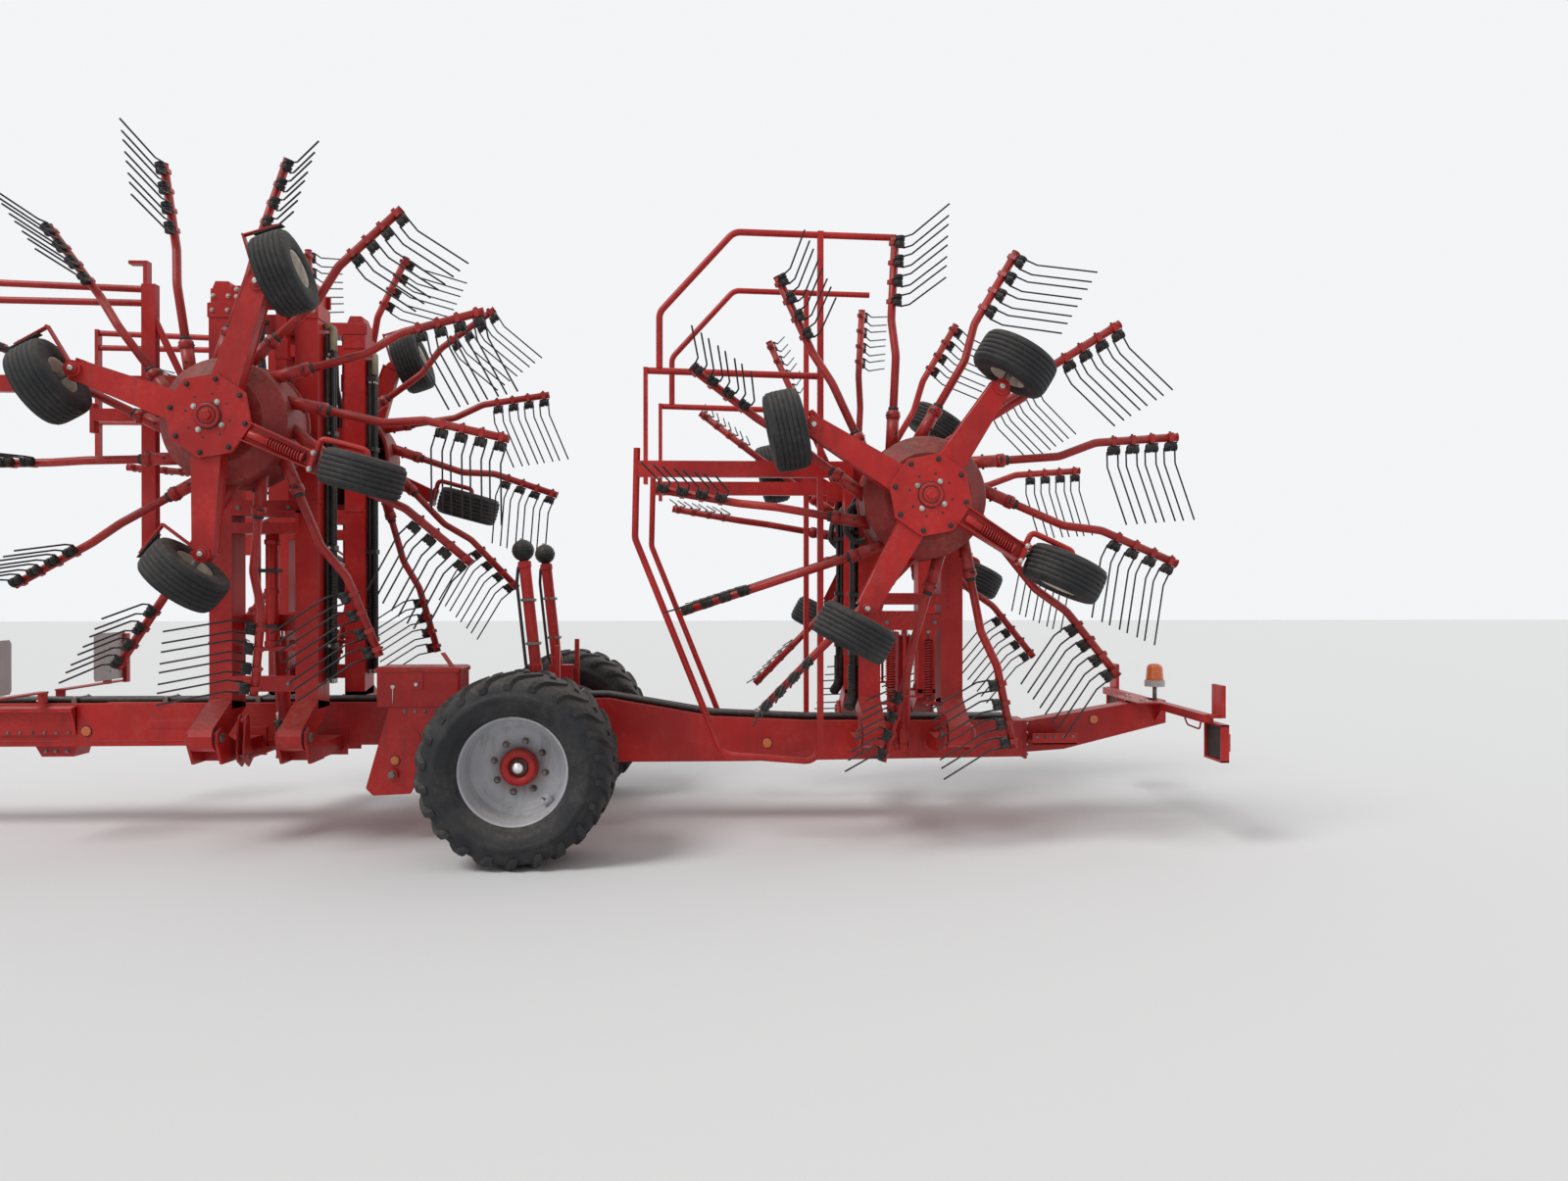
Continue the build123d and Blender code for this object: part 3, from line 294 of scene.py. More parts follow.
def rubberMaterial(name, colour, dusty, roughness, dust):
    material, maker, shader = newMaterial(name, Specular_IOR_Level=0.35, Coat_Roughness=0.2)
    aged = useGroup(maker, weather, Dust=dust, Blotch_Scale=7.0, Grain_Scale=420.0)
    tint = maker.mix(maker.span(aged["Blotch"], 0.38, 0.7), colour, dusty)
    tint = maker.mix(maker.times(aged["Dust Mask"], 0.55), tint, dustColour)
    matt = maker.plus(maker.times(aged["Blotch"], 0.2), roughness - 0.1)
    finishShader(maker, shader, tint, matt, aged["Grain"], 0.35, 0.0008)
    return material


def metalMaterial(name, colour, stain, metallic, roughness, stained, dust):
    material, maker, shader = newMaterial(name, Metallic=metallic, Coat_Roughness=0.2)
    aged = useGroup(maker, weather, Dust=dust, Blotch_Scale=16.0, Grain_Scale=380.0)
    share = maker.times(maker.span(aged["Blotch"], 0.45, 0.7), stained)
    tint = maker.mix(share, colour, stain)
    tint = maker.mix(maker.times(aged["Dust Mask"], 0.5), tint, dustColour)
    finishShader(maker, shader, tint, maker.plus(maker.times(share, 0.4), roughness), aged["Grain"], 0.1,
                 0.0004)
    return material


def lensMaterial(name, colour, deep):
    material, maker, shader = newMaterial(name, Coat_Weight=0.6, Coat_Roughness=0.08)
    place = maker.add("ShaderNodeTexCoord")
    ribs = maker.add("ShaderNodeTexWave", Scale=38.0, Vector=place.outputs["Object"])
    ribs.bands_direction = "Z"
    ribbed = ribs.outputs["Fac"]
    finishShader(maker, shader, maker.mix(ribbed, deep, colour), 0.18, ribbed, 0.4, 0.002)
    return material


primerGrey = (0.13, 0.07, 0.055)
# light, deep and bare colours, then dust, edge wear, chips, roughness and grime
paints = {
    "redPaint": ((0.50, 0.0120, 0.0100), (0.36, 0.0085, 0.0075), primerGrey, 0.22, 0.6, 0.5, 0.40, 0.35),
    "reelPaint": ((0.44, 0.0150, 0.0120), (0.30, 0.0100, 0.0085), (0.075, 0.045, 0.040), 0.35, 0.8, 0.9,
                  0.40, 0.6),
    # the drum's darker red is painted shade for its place in the shadow under the arms, on top of its
    # heavier dust and grime
    "drumPaint": ((0.30, 0.0120, 0.0100), (0.16, 0.0100, 0.0090), (0.060, 0.042, 0.038), 0.45, 0.8, 1.0,
                  0.52, 0.8),
    "rimPaint": ((0.50, 0.51, 0.54), (0.41, 0.42, 0.45), (0.16, 0.12, 0.10), 0.5, 0.4, 0.4, 0.42, 0.5),
    "creamPaint": ((0.62, 0.58, 0.50), (0.50, 0.45, 0.37), (0.20, 0.10, 0.06), 0.5, 0.5, 0.7, 0.45, 0.7),
    "standPaint": ((0.30, 0.30, 0.31), (0.22, 0.22, 0.23), (0.12, 0.09, 0.07), 0.4, 0.6, 0.5, 0.5, 0.35),
    "boardPaint": ((0.50, 0.49, 0.48), (0.40, 0.39, 0.38), (0.2, 0.18, 0.16), 0.5, 0.2, 0.1, 0.45, 0.35),
    "springRed": ((0.56, 0.0170, 0.0120), (0.42, 0.0110, 0.0090), primerGrey, 0.1, 0.3, 0.5, 0.36, 0.35),
}
# colour, dusty colour, roughness and dust
rubbers = {
    "tyreRubber": ((0.017, 0.018, 0.021), (0.038, 0.037, 0.039), 0.72, 0.4),
    "wheelRubber": ((0.016, 0.017, 0.019), (0.034, 0.033, 0.034), 0.72, 0.35),
    "hoseRubber": ((0.012, 0.012, 0.013), (0.026, 0.025, 0.025), 0.45, 0.5),
    "coilBlack": ((0.012, 0.012, 0.013), (0.034, 0.030, 0.028), 0.48, 0.3),
    "paleSleeve": ((0.40, 0.37, 0.25), (0.28, 0.25, 0.17), 0.5, 0.3),
}
# colour, stain, metallic, roughness, share stained and dust
metals = {
    "tineSteel": ((0.030, 0.029, 0.032), (0.050, 0.034, 0.026), 0.4, 0.45, 0.5, 0.1),
    "socketIron": ((0.034, 0.030, 0.030), (0.055, 0.034, 0.026), 0.4, 0.55, 0.5, 0.2),
    "chromeRod": ((0.72, 0.73, 0.75), (0.52, 0.50, 0.47), 0.9, 0.14, 0.3, 0.1),
    "zincSteel": ((0.50, 0.49, 0.45), (0.24, 0.20, 0.15), 0.9, 0.38, 0.7, 0.25),
    "oldSteel": ((0.20, 0.18, 0.17), (0.11, 0.06, 0.04), 0.7, 0.5, 0.9, 0.25),
}
redPaint, reelPaint, drumPaint, rimPaint, creamPaint, standPaint, boardPaint, springRed = [
    paintMaterial(name, *values) for name, values in paints.items()
]
tyreRubber, wheelRubber, hoseRubber, coilBlack, paleSleeve = [
    rubberMaterial(name, *values) for name, values in rubbers.items()
]
tineSteel, socketIron, chromeRod, zincSteel, oldSteel = [
    metalMaterial(name, *values) for name, values in metals.items()
]
redLens = lensMaterial("redLens", (0.42, 0.016, 0.014), (0.22, 0.008, 0.008))
amberLens = lensMaterial("amberLens", (0.82, 0.17, 0.015), (0.50, 0.08, 0.01))

nodeFinish = {
    "tyre": tyreRubber,
    "rim": rimPaint,
    "rotor_wheel": wheelRubber,
    "fold_rod": chromeRod,
    "reel": reelPaint,
    "tail_lights": redLens,
    "beacon": amberLens,
    "front_boards": boardPaint,
    "beam_hoses": hoseRubber,
    "parking_stand": standPaint,
}
for name, node in nodes.items():
    finish = next((material for start, material in nodeFinish.items() if name.startswith(start)), redPaint)
    node.data.materials.clear()
    node.data.materials.append(finish)
print("materials made and given to the frame's nodes")


# Mesh helpers
def sideways(direction):
    # Two directions across a given one, right-handed with it
    along = Vector(direction).normalized()
    helper = Vector((0, 0, 1)) if abs(along.z) < 0.9 else Vector((1, 0, 0))
    first = helper.cross(along).normalized()
    return first, along.cross(first), along


def roundedPath(points, bend, steps=5):
    # The points with each corner bent to one radius
    path = [Vector(points[0])]
    for before, corner, after in zip(points, points[1:], points[2:]):
        before, corner, after = Vector(before), Vector(corner), Vector(after)
        inward = (before - corner).normalized()
        outward = (after - corner).normalized()
        turn = math.pi - inward.angle(outward)
        if turn < 0.02 or bend <= 0:
            path.append(corner)
            continue
        reach = min(bend * math.tan(turn / 2), 0.48 * (before - corner).length,
                    0.48 * (after - corner).length)
        start, end = corner + inward * reach, corner + outward * reach
        for step in range(steps + 1):
            share = step / steps
            low = start.lerp(corner, share)
            high = corner.lerp(end, share)
            path.append(low.lerp(high, share))
    path.append(Vector(points[-1]))
    return path


def circle(centre, first, second, radius, count):
    turns = (2 * math.pi * step / count for step in range(count))
    return [centre + radius * (math.cos(turn) * first + math.sin(turn) * second) for turn in turns]


def turnOver(mesh):
    # To the machine's other side
    for vertex in mesh.verts:
        vertex.co.y = -vertex.co.y
    bmesh.ops.reverse_faces(mesh, faces=mesh.faces)


class Piece:
    # One mesh under way, to which closed shapes are added, each in the finish in use
    def __init__(self, name, material):
        self.name = name
        self.mesh = bmesh.new()
        self.materials = [material]
        self.finish = 0
        self.boltList = []

    def use(self, material):
        if material not in self.materials:
            self.materials.append(material)
        self.finish = self.materials.index(material)
        return self

    def take(self, corners, smooth):
        face = self.mesh.faces.new(corners)
        face.material_index = self.finish
        face.smooth = smooth

    def loops(self, loops, smooth=False, ring=False):
        # Loops of points joined one after the other, closed at both ends or into a ring
        rows = [[self.mesh.verts.new(point) for point in loop] for loop in loops]
        for low, high in zip(rows, rows[1:] + rows[:1] if ring else rows[1:]):
            for step in range(len(low)):
                after = (step + 1) % len(low)
                self.take((low[step], low[after], high[after], high[step]), smooth)
        if not ring:
            self.take(rows[0][::-1], False)
            self.take(rows[-1], False)

    def tube(self, points, radius, sides=12, bend=0.0, steps=5):
        path = roundedPath(points, bend, steps)
        along = (path[1] - path[0]).normalized()
        first = sideways(along)[0]
        rows = []
        for place, point in enumerate(path):
            ahead = (path[min(place + 1, len(path) - 1)] - path[max(place - 1, 0)]).normalized()
            first.rotate(along.rotation_difference(ahead))
            along = ahead
            first = (first - along * first.dot(along)).normalized()
            size = radius[place] if isinstance(radius, list) else radius
            rows.append(circle(point, first, along.cross(first), size, sides))
        self.loops(rows, smooth=True)

    def rod(self, start, end, radius, sides=16):
        first, second = sideways(Vector(end) - Vector(start))[:2]
        self.loops([circle(Vector(point), first, second, radius, sides) for point in (start, end)],
                   smooth=True)

    def lathe(self, profile, origin, axis, segments, smooth=False, ring=False):
        # Profile points give the distance along the axis and the radius
        first, second, along = sideways(axis)
        self.loops([circle(Vector(origin) + along * reach, first, second, radius, segments)
                    for reach, radius in profile], smooth, ring)

    def slab(self, outline, origin, across, up, thickness):
        # A flat outline made thick, half to each side of its plane
        across, up = Vector(across).normalized(), Vector(up).normalized()
        through = across.cross(up) * (thickness / 2)
        flat = [Vector(origin) + across * x + up * y for x, y in outline]
        self.loops([[point - through for point in flat], [point + through for point in flat]])

    def crossPlate(self, outline, x, thickness):
        # An outline in Y and Z, half its thickness to each side of X
        self.slab(outline, (x, 0, 0), (0, 1, 0), (0, 0, 1), thickness)

    def sidePlate(self, outline, low, high):
        # An outline in X and Z, made thick from one Y to another
        self.loops([[(x, y, z) for x, z in outline] for y in (low, high)])

    def flatPlate(self, outline, low, high):
        # An outline in X and Y, made thick from one Z to another
        self.loops([[(x, y, z) for x, y in outline] for z in (low, high)])

    def block(self, low, high):
        self.flatPlate([(low[0], low[1]), (high[0], low[1]), (high[0], high[1]), (low[0], high[1])], low[2],
                       high[2])

    def bar(self, start, end, width, depth, widthDirection):
        # A square-cut bar between two points
        start, end = Vector(start), Vector(end)
        along, length = (end - start).normalized(), (end - start).length
        across = Vector(widthDirection)
        across -= along * across.dot(along)
        self.slab([(-width / 2, 0), (width / 2, 0), (width / 2, length), (-width / 2, length)], start,
                  across, along, depth)

    def coil(self, start, end, radius, wire, turns, perTurn=12):
        first, second, along = sideways(Vector(end) - Vector(start))
        length = (Vector(end) - Vector(start)).length
        count = int(turns * perTurn)
        points = []
        for step in range(count + 1):
            turn = 2 * math.pi * step / perTurn
            points.append(Vector(start) + along * (length * step / count)
                          + radius * (math.cos(turn) * first + math.sin(turn) * second))
        self.tube(points, wire, sides=5)

    def bolts(self, points, direction, size=1.0, finish=zincSteel):
        self.boltList += [(Vector(point), Vector(direction), size, finish) for point in points]

    def flipBolts(self):
        over = Matrix.Diagonal((1, -1, 1))
        return [(over @ point, over @ direction, size, finish)
                for point, direction, size, finish in self.boltList]

    def mirror(self):
        # Repeats on the right everything made so far on the left
        twins = {}
        for vertex in list(self.mesh.verts):
            twins[vertex] = self.mesh.verts.new((vertex.co.x, -vertex.co.y, vertex.co.z))
        for face in list(self.mesh.faces):
            self.finish = face.material_index
            self.take([twins[vertex] for vertex in reversed(face.verts)], face.smooth)
        self.boltList += self.flipBolts()

    def made(self, bevel=0.0, shown=True):
        data = bpy.data.meshes.new(self.name)
        bmesh.ops.recalc_face_normals(self.mesh, faces=self.mesh.faces)
        self.mesh.to_mesh(data)
        self.mesh.free()
        for material in self.materials:
            data.materials.append(material)
        piece = bpy.data.objects.new(self.name, data)
        if shown:
            bpy.context.scene.collection.objects.link(piece)
        if bevel:
            edges = piece.modifiers.new("edges", "BEVEL")
            edges.width = bevel
            edges.segments = 1
            edges.limit_method = "ANGLE"
            edges.angle_limit = math.radians(40)
        return piece


def place(piece, body, slotName, *replaced, flip=False):
    # Sets a finished object on its body, turned over to the right side if asked
    if flip:
        whole = bmesh.new()
        whole.from_mesh(piece.data)
        turnOver(whole)
        whole.to_mesh(piece.data)
        whole.free()
    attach(piece, body)
    if replaced:
        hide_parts(*replaced)


# Geometry Nodes trees
def scatterTree():
    # One part set at every point, turned and sized by the points' own values
    tree = bpy.data.node_groups.new("setAtPoints", "GeometryNodeTree")
    for label, kind in (("Points", "Geometry"), ("Part", "Object"), ("Finish", "Material"),
                        ("Own Finish", "Bool"),
                        ("Overall Size", "Float")):
        tree.interface.new_socket(label, in_out="INPUT", socket_type="NodeSocket" + kind)
    tree.interface.new_socket("Result", in_out="OUTPUT", socket_type="NodeSocketGeometry")
    kinds = ("NodeGroupInput", "NodeGroupOutput", "GeometryNodeObjectInfo",
             "GeometryNodeInputNamedAttribute",
             "GeometryNodeInputNamedAttribute", "ShaderNodeMath", "GeometryNodeInstanceOnPoints",
             "GeometryNodeRealizeInstances", "GeometryNodeSetMaterial", "ShaderNodeMath")
    inside, outside, part, turn, size, scaled, copies, real, finish, painted = map(tree.nodes.new, kinds)
    for node, kind, label in ((turn, "FLOAT_VECTOR", "turn"), (size, "FLOAT", "size")):
        node.data_type = kind
        node.inputs["Name"].default_value = label
    scaled.operation = "MULTIPLY"
    painted.operation = "SUBTRACT"
    painted.inputs[0].default_value = 1.0
    for source, output, target, socket in (
            (inside, "Part", part, "Object"), (size, "Attribute", scaled, 0),
            (inside, "Overall Size", scaled, 1),
            (inside, "Points", copies, "Points"), (part, "Geometry", copies, "Instance"),
            (turn, "Attribute", copies, "Rotation"), (scaled, 0, copies, "Scale"),
            (copies, "Instances", real, "Geometry"), (real, "Geometry", finish, "Geometry"),
            (inside, "Finish", finish, "Material"), (inside, "Own Finish", painted, 1),
            (painted, 0, finish, "Selection"), (finish, "Geometry", outside, "Result")):
        tree.links.new(source.outputs[output], target.inputs[socket])
    return tree


setAtPoints = scatterTree()


def setCopies(name, part, places, finish, ownFinish=False):
    # Copies at places that give a point, a rotation and a size, as a plain mesh with the modifier gone
    data = bpy.data.meshes.new(name)
    data.from_pydata([point for point, turn, scale in places], [], [])
    data.attributes.new("turn", "FLOAT_VECTOR", "POINT")
    data.attributes.new("size", "FLOAT", "POINT")
    for number, (point, turn, scale) in enumerate(places):
        data.attributes["turn"].data[number].vector = turn
        data.attributes["size"].data[number].value = scale
    host = bpy.data.objects.new(name, data)
    bpy.context.scene.collection.objects.link(host)
    modifier = host.modifiers.new("nodes", "NODES")
    modifier.node_group = setAtPoints
    values = {"Part": part, "Finish": finish, "Own Finish": ownFinish, "Overall Size": 1.0}
    for item in setAtPoints.interface.items_tree:
        if item.name in values:
            modifier[item.identifier] = values[item.name]
    host.update_tag()
    view = bpy.context.evaluated_depsgraph_get()
    view.update()
    result = bpy.data.meshes.new_from_object(host.evaluated_get(view), depsgraph=view)
    host.modifiers.remove(modifier)
    result.name = name
    if not result.materials:
        for material in part.data.materials:
            result.materials.append(material)
    host.data = result
    bpy.data.meshes.remove(data)
    return host


def facing(direction, spin=0.0):
    # The rotation that points a part's Z along a direction
    turn = Vector(direction).to_track_quat("Z", "Y") @ Matrix.Rotation(spin, 3, "Z").to_quaternion()
    return tuple(turn.to_euler())


boltPlaces = {}


def fitOut(shape, body, slotName, *replaced, bevel=0.0035):
    # Turns a shape into its object on a body, turned over for a body on the right; bolts are kept for later
    right = body.endswith("right")
    for point, direction, size, finish in shape.flipBolts() if right else shape.boltList:
        boltPlaces.setdefault(body, {}).setdefault(finish.name,
                                                   []).append((tuple(point), facing(direction, 0.3), size))
    place(shape.made(bevel=bevel), body, slotName, *replaced, flip=right)


def boltShape():
    # Hexagon head on its washer, 24 mm across, looking along Z
    shape = Piece("boltShape", zincSteel)
    shape.lathe([(-0.004, 0.016), (0.003, 0.016)], (0, 0, 0), (0, 0, 1), 12)
    shape.lathe([(0.002, 0.0125), (0.012, 0.0125), (0.0145, 0.0095)], (0, 0, 0), (0, 0, 1), 6)
    return shape.made(shown=False)


def aroundRotor(angle, radius=1.0):
    # Offset in X and Z, the angle seen from the left with the tail to the right
    turn = math.radians(angle)
    return Vector((-radius * math.cos(turn), 0, radius * math.sin(turn)))


def joinInto(target, others):
    # Adds the meshes of other objects to one object
    whole = bmesh.new()
    materials = list(target.data.materials)
    for thing in [target] + others:
        start = len(whole.faces)
        whole.from_mesh(thing.data)
        whole.faces.ensure_lookup_table()
        shift = {}
        for index, material in enumerate(thing.data.materials):
            if material not in materials:
                materials.append(material)
            shift[index] = materials.index(material)
        for face in whole.faces[start:]:
            face.material_index = shift.get(face.material_index, 0)
    target.data.materials.clear()
    for material in materials:
        target.data.materials.append(material)
    whole.to_mesh(target.data)
    whole.free()
    for thing in others:
        bpy.data.objects.remove(thing)


def between(value, table):
    # Straight-line reading from a rising table
    for (low, start), (high, end) in zip(table, table[1:]):
        if value <= high:
            break
    return start + (end - start) * (value - low) / (high - low)


boltPart = boltShape()
print("tools for the shapes are ready")


# Road wheels: flotation tyres with curved lugs on deep dished rims
roadWheel = {
    "innerY": 0.795,
    "width": 0.600,
    "radius": 0.535,
    "seat": 0.3025,
    "dish": 1.095,
    "lugCount": 22,
    # one lug, from the middle of the tread to the sidewall: share of half the width, run round the tread,
    # top, base and width
    "lug": [(-0.03, 0.000, 0.5348, 0.514, 0.040), (0.20, 0.010, 0.5348, 0.514, 0.044),
            (0.42, 0.030, 0.5345, 0.513, 0.048), (0.64, 0.062, 0.5330, 0.508, 0.052),
            (0.82, 0.096, 0.5280, 0.498, 0.054), (0.925, 0.120, 0.5130, 0.480, 0.052),
            (0.985, 0.138, 0.4850, 0.455, 0.044)],
    # half the tyre's section: share of the width from the side, radius
    "section": [(0.11, 0.303), (0.085, 0.312), (0.066, 0.322), (0.058, 0.334), (0.046, 0.338),
                (0.026, 0.362),
                (0.006, 0.392), (0.0045, 0.396), (0.0008, 0.399), (0.0, 0.411), (0.0015, 0.423),
                (0.006, 0.426),
                (0.014, 0.448), (0.034, 0.478), (0.074, 0.500), (0.16, 0.512), (0.30, 0.519),
                (0.46, 0.5205)],
    "nutCount": 8,
    "nutCircle": 0.145,
}


def lugShape(sizes):
    # One curved lug on each half of the tread, half a pitch apart, around an axle along Y
    shape = Piece("lugShape", tyreRubber)
    for side in (-1, 1):
        rows = []
        for share, run, top, base, width in sizes["lug"]:
            row = []
            for across, height in ((-0.5, base), (-0.36, top), (0.36, top), (0.5, base)):
                angle = (run + across * width) / sizes["radius"] + side * math.pi / sizes["lugCount"] / 2
                row.append((height * math.sin(angle), side * share * sizes["width"] / 2,
                            height * math.cos(angle)))
            rows.append(row)
        shape.loops(rows)
    return shape.made(shown=False)


def tyreBody(name, sizes):
    tyre = Piece(name, tyreRubber)
    inner, width, half = pick(sizes, "innerY", "width", "section")
    profile = [(inner + share * width, radius) for share, radius in half]
    profile += [(inner + (1 - share) * width, radius) for share, radius in reversed(half)]
    tyre.lathe(profile, (axle.x, 0, axle.z), (0, 1, 0), 88, smooth=True, ring=True)
    return tyre.made()


def rimShape(name, sizes):
    # Deep dish with stepped bead seats, a ring of nuts, red hub and grey cap
    rim = Piece(name, rimPaint)
    inner, width, seat, dish = pick(sizes, "innerY", "width", "seat", "dish")
    bead, outer, centre = inner + 0.11 * width, inner + 0.89 * width, (axle.x, 0, axle.z)
    rim.lathe([
        (bead, seat - 0.001), (bead - 0.003, seat - 0.010), (bead, seat - 0.018),
        (dish - 0.030, seat - 0.026),
        (dish - 0.004, 0.200), (dish - 0.004, 0.104), (dish + 0.012, 0.104), (dish + 0.014, 0.196),
        (dish + 0.020, 0.218), (dish + 0.046, 0.236), (dish + 0.052, 0.246), (dish + 0.046, 0.258),
        (dish + 0.058, 0.268), (outer - 0.110, 0.272), (outer - 0.066, 0.276), (outer - 0.052, 0.284),
        (outer - 0.020, 0.286), (outer - 0.008, 0.290), (outer, 0.296), (outer - 0.001, seat - 0.001),
        (outer - 0.012, seat - 0.0005), (inner + 0.13 * width, seat - 0.0005),
    ], centre, (0, 1, 0), 72, smooth=True, ring=True)
    rim.use(redPaint).lathe([
        (inner + 0.025, 0.049), (inner + 0.025, 0.096), (inner + 0.040, 0.104), (dish + 0.060, 0.104),
        (dish + 0.074, 0.098), (dish + 0.080, 0.088), (dish + 0.080, 0.060), (dish + 0.040, 0.054),
        (dish + 0.040, 0.049),
    ], centre, (0, 1, 0), 40, smooth=True, ring=True)
    rim.use(chromeRod).lathe([(dish + 0.050, 0.036), (dish + 0.086, 0.033), (dish + 0.093, 0.027),
                              (dish + 0.095, 0.0)],
                             centre, (0, 1, 0), 24, smooth=True)
    rim.use(oldSteel).lathe([(dish + 0.028, 0.0485), (dish + 0.044, 0.052), (dish + 0.052, 0.048),
                             (dish + 0.052, 0.0)],
                            centre, (0, 1, 0), 28, smooth=True)
    for number in range(sizes["nutCount"]):
        turn = 2 * math.pi * (number + 0.3) / sizes["nutCount"]
        spot = Vector((axle.x + sizes["nutCircle"] * math.cos(turn), dish + 0.012,
                       axle.z + sizes["nutCircle"] * math.sin(turn)))
        for profile, segments in (([(0, 0.021), (0.003, 0.021)], 14),
                                  ([(0.002, 0.0155), (0.018, 0.0155), (0.021, 0.012)], 6)):
            rim.lathe(profile, spot, (0, 1, 0), segments)
        rim.rod(spot + Vector((0, 0.018, 0)), spot + Vector((0, 0.030, 0)), 0.009, sides=8)
    # valve in the well of the rim, with its guard
    low, guard = Vector((axle.x - 0.175, dish + 0.085, axle.z - 0.185)), Vector((0.022, 0.020, 0.020))
    rim.rod(low + Vector((0.016, 0.016, 0.014)), low + Vector((0.035, 0.048, 0.030)), 0.006, sides=8)
    rim.use(rimPaint).lathe([(0, 0.034), (guard.length, 0.028)], low, guard, 14, smooth=True)
    return rim.made()


lugPart = lugShape(roadWheel)
lugSpots = [((axle.x, roadWheel["innerY"] + roadWheel["width"] / 2, axle.z),
             (0, 2 * math.pi * number / roadWheel["lugCount"], 0), 1.0)
             for number in range(roadWheel["lugCount"])]
for side in sides:
    tyre = setCopies(f"tyreDressed_{side}", lugPart, lugSpots, tyreRubber)
    joinInto(tyre, [tyreBody(f"carcass_{side}", roadWheel)])
    rim = rimShape(f"rimDressed_{side}", roadWheel)
    place(tyre, f"road_wheel_{side}", "tyre", f"tyre_{side}", flip=side == "right")
    place(rim, f"road_wheel_{side}", "rim_grey", f"rim_{side}", flip=side == "right")
print("road wheels made")

# Small wheels under the rotors: ribbed tyre on a cream dished rim, round an axle along Z
rotorWheel = {
    "radius": 0.225,
    "width": 0.205,
    "rim": 0.1025,
    "y": 1.270,
    "reach": 0.870,
    "ribs": 6,
    "groove": 0.007,
    "plate": 0.012,
    "nutCount": 5,
    "nutCircle": 0.056,
    # arm angle and axle angle seen from the left
    "rear": {"a": (156, 12), "b": (57, 59), "c": (241, 62), "d": (330, 65)},
    "front": {"a": (168, 28), "b": (63, 19), "c": (261, 50), "d": (339, 75)},
}


def ribbedWheel(sizes):
    wheel = Piece("ribbedWheel", wheelRubber)
    half, radius, rim, plate = sizes["width"] / 2, sizes["radius"], sizes["rim"], sizes["plate"]
    side = [(0.82, rim), (0.90, rim + 0.010), (0.93, rim + 0.016), (0.97, rim + 0.034),
            (1.0, radius - 0.066),
            (0.995, radius - 0.052), (0.955, radius - 0.030), (0.90, radius - 0.016)]
    crown = []
    for number in range(sizes["ribs"]):
        middle = (number + 0.5) / sizes["ribs"] * 1.6 - 0.8
        for share, depth in ((-0.125, sizes["groove"]), (-0.105, 0), (0.105, 0), (0.125, sizes["groove"])):
            drop = 0.012 * ((middle + share) / 0.9) ** 4
            crown.append((middle + share, radius - drop - depth))
    outline = [(-share, size) for share, size in side] + crown + side[::-1]
    dish = [
        (-0.84 * half, rim + 0.006), (-0.84 * half, rim - 0.002), (-0.78 * half, rim - 0.012),
        (-0.10 * half, rim - 0.022), (-0.04 * half, 0.052), (-0.06 * half, 0.024), (plate, 0.024),
        (plate + 0.002, 0.054), (plate + 0.008, rim - 0.026), (0.74 * half, rim - 0.014),
        (0.84 * half, rim - 0.002), (0.84 * half, rim + 0.006), (0.80 * half, rim), (-0.80 * half, rim),
    ]
    hub = [(-0.5 * half, 0.0215), (-0.5 * half, 0.036), (0.5 * half, 0.036), (0.5 * half, 0.0215)]
    for material, profile, segments, smooth in (
            (wheelRubber, [(share * half, size) for share, size in outline], 40, True),
            (creamPaint, dish, 32, True),
            (oldSteel, hub, 20, False)):
        wheel.use(material).lathe(profile, (0, 0, 0), (0, 0, 1), segments, smooth, ring=True)
    for number in range(sizes["nutCount"]):
        turn = 2 * math.pi * number / sizes["nutCount"]
        for z, way in ((-0.004, -1), (plate, 1)):
            wheel.lathe([(0.0, 0.009), (0.009, 0.009), (0.011, 0.006)],
                        (sizes["nutCircle"] * math.cos(turn), sizes["nutCircle"] * math.sin(turn), z),
                        (0, 0, way), 6)
    return wheel.made(shown=False)


wheelPart = ribbedWheel(rotorWheel)
for end in ends:
    for side in sides:
        hub = rotorAt[(end, side)]
        for letter, (armAngle, axleAngle) in rotorWheel[end].items():
            spot = Vector((hub.x, rotorWheel["y"], hub.z)) + aroundRotor(armAngle, rotorWheel["reach"])
            wheel = setCopies(f"smallWheel_{end}_{side}_{letter}", wheelPart,
                              [(tuple(spot), facing(aroundRotor(axleAngle)), 1.0)], wheelRubber,
                              ownFinish=True)
            node = f"rotor_wheel_{end}_{side}_{letter}"
            place(wheel, node, "small_wheel", node, flip=side == "right")
print("sixteen small wheels made")
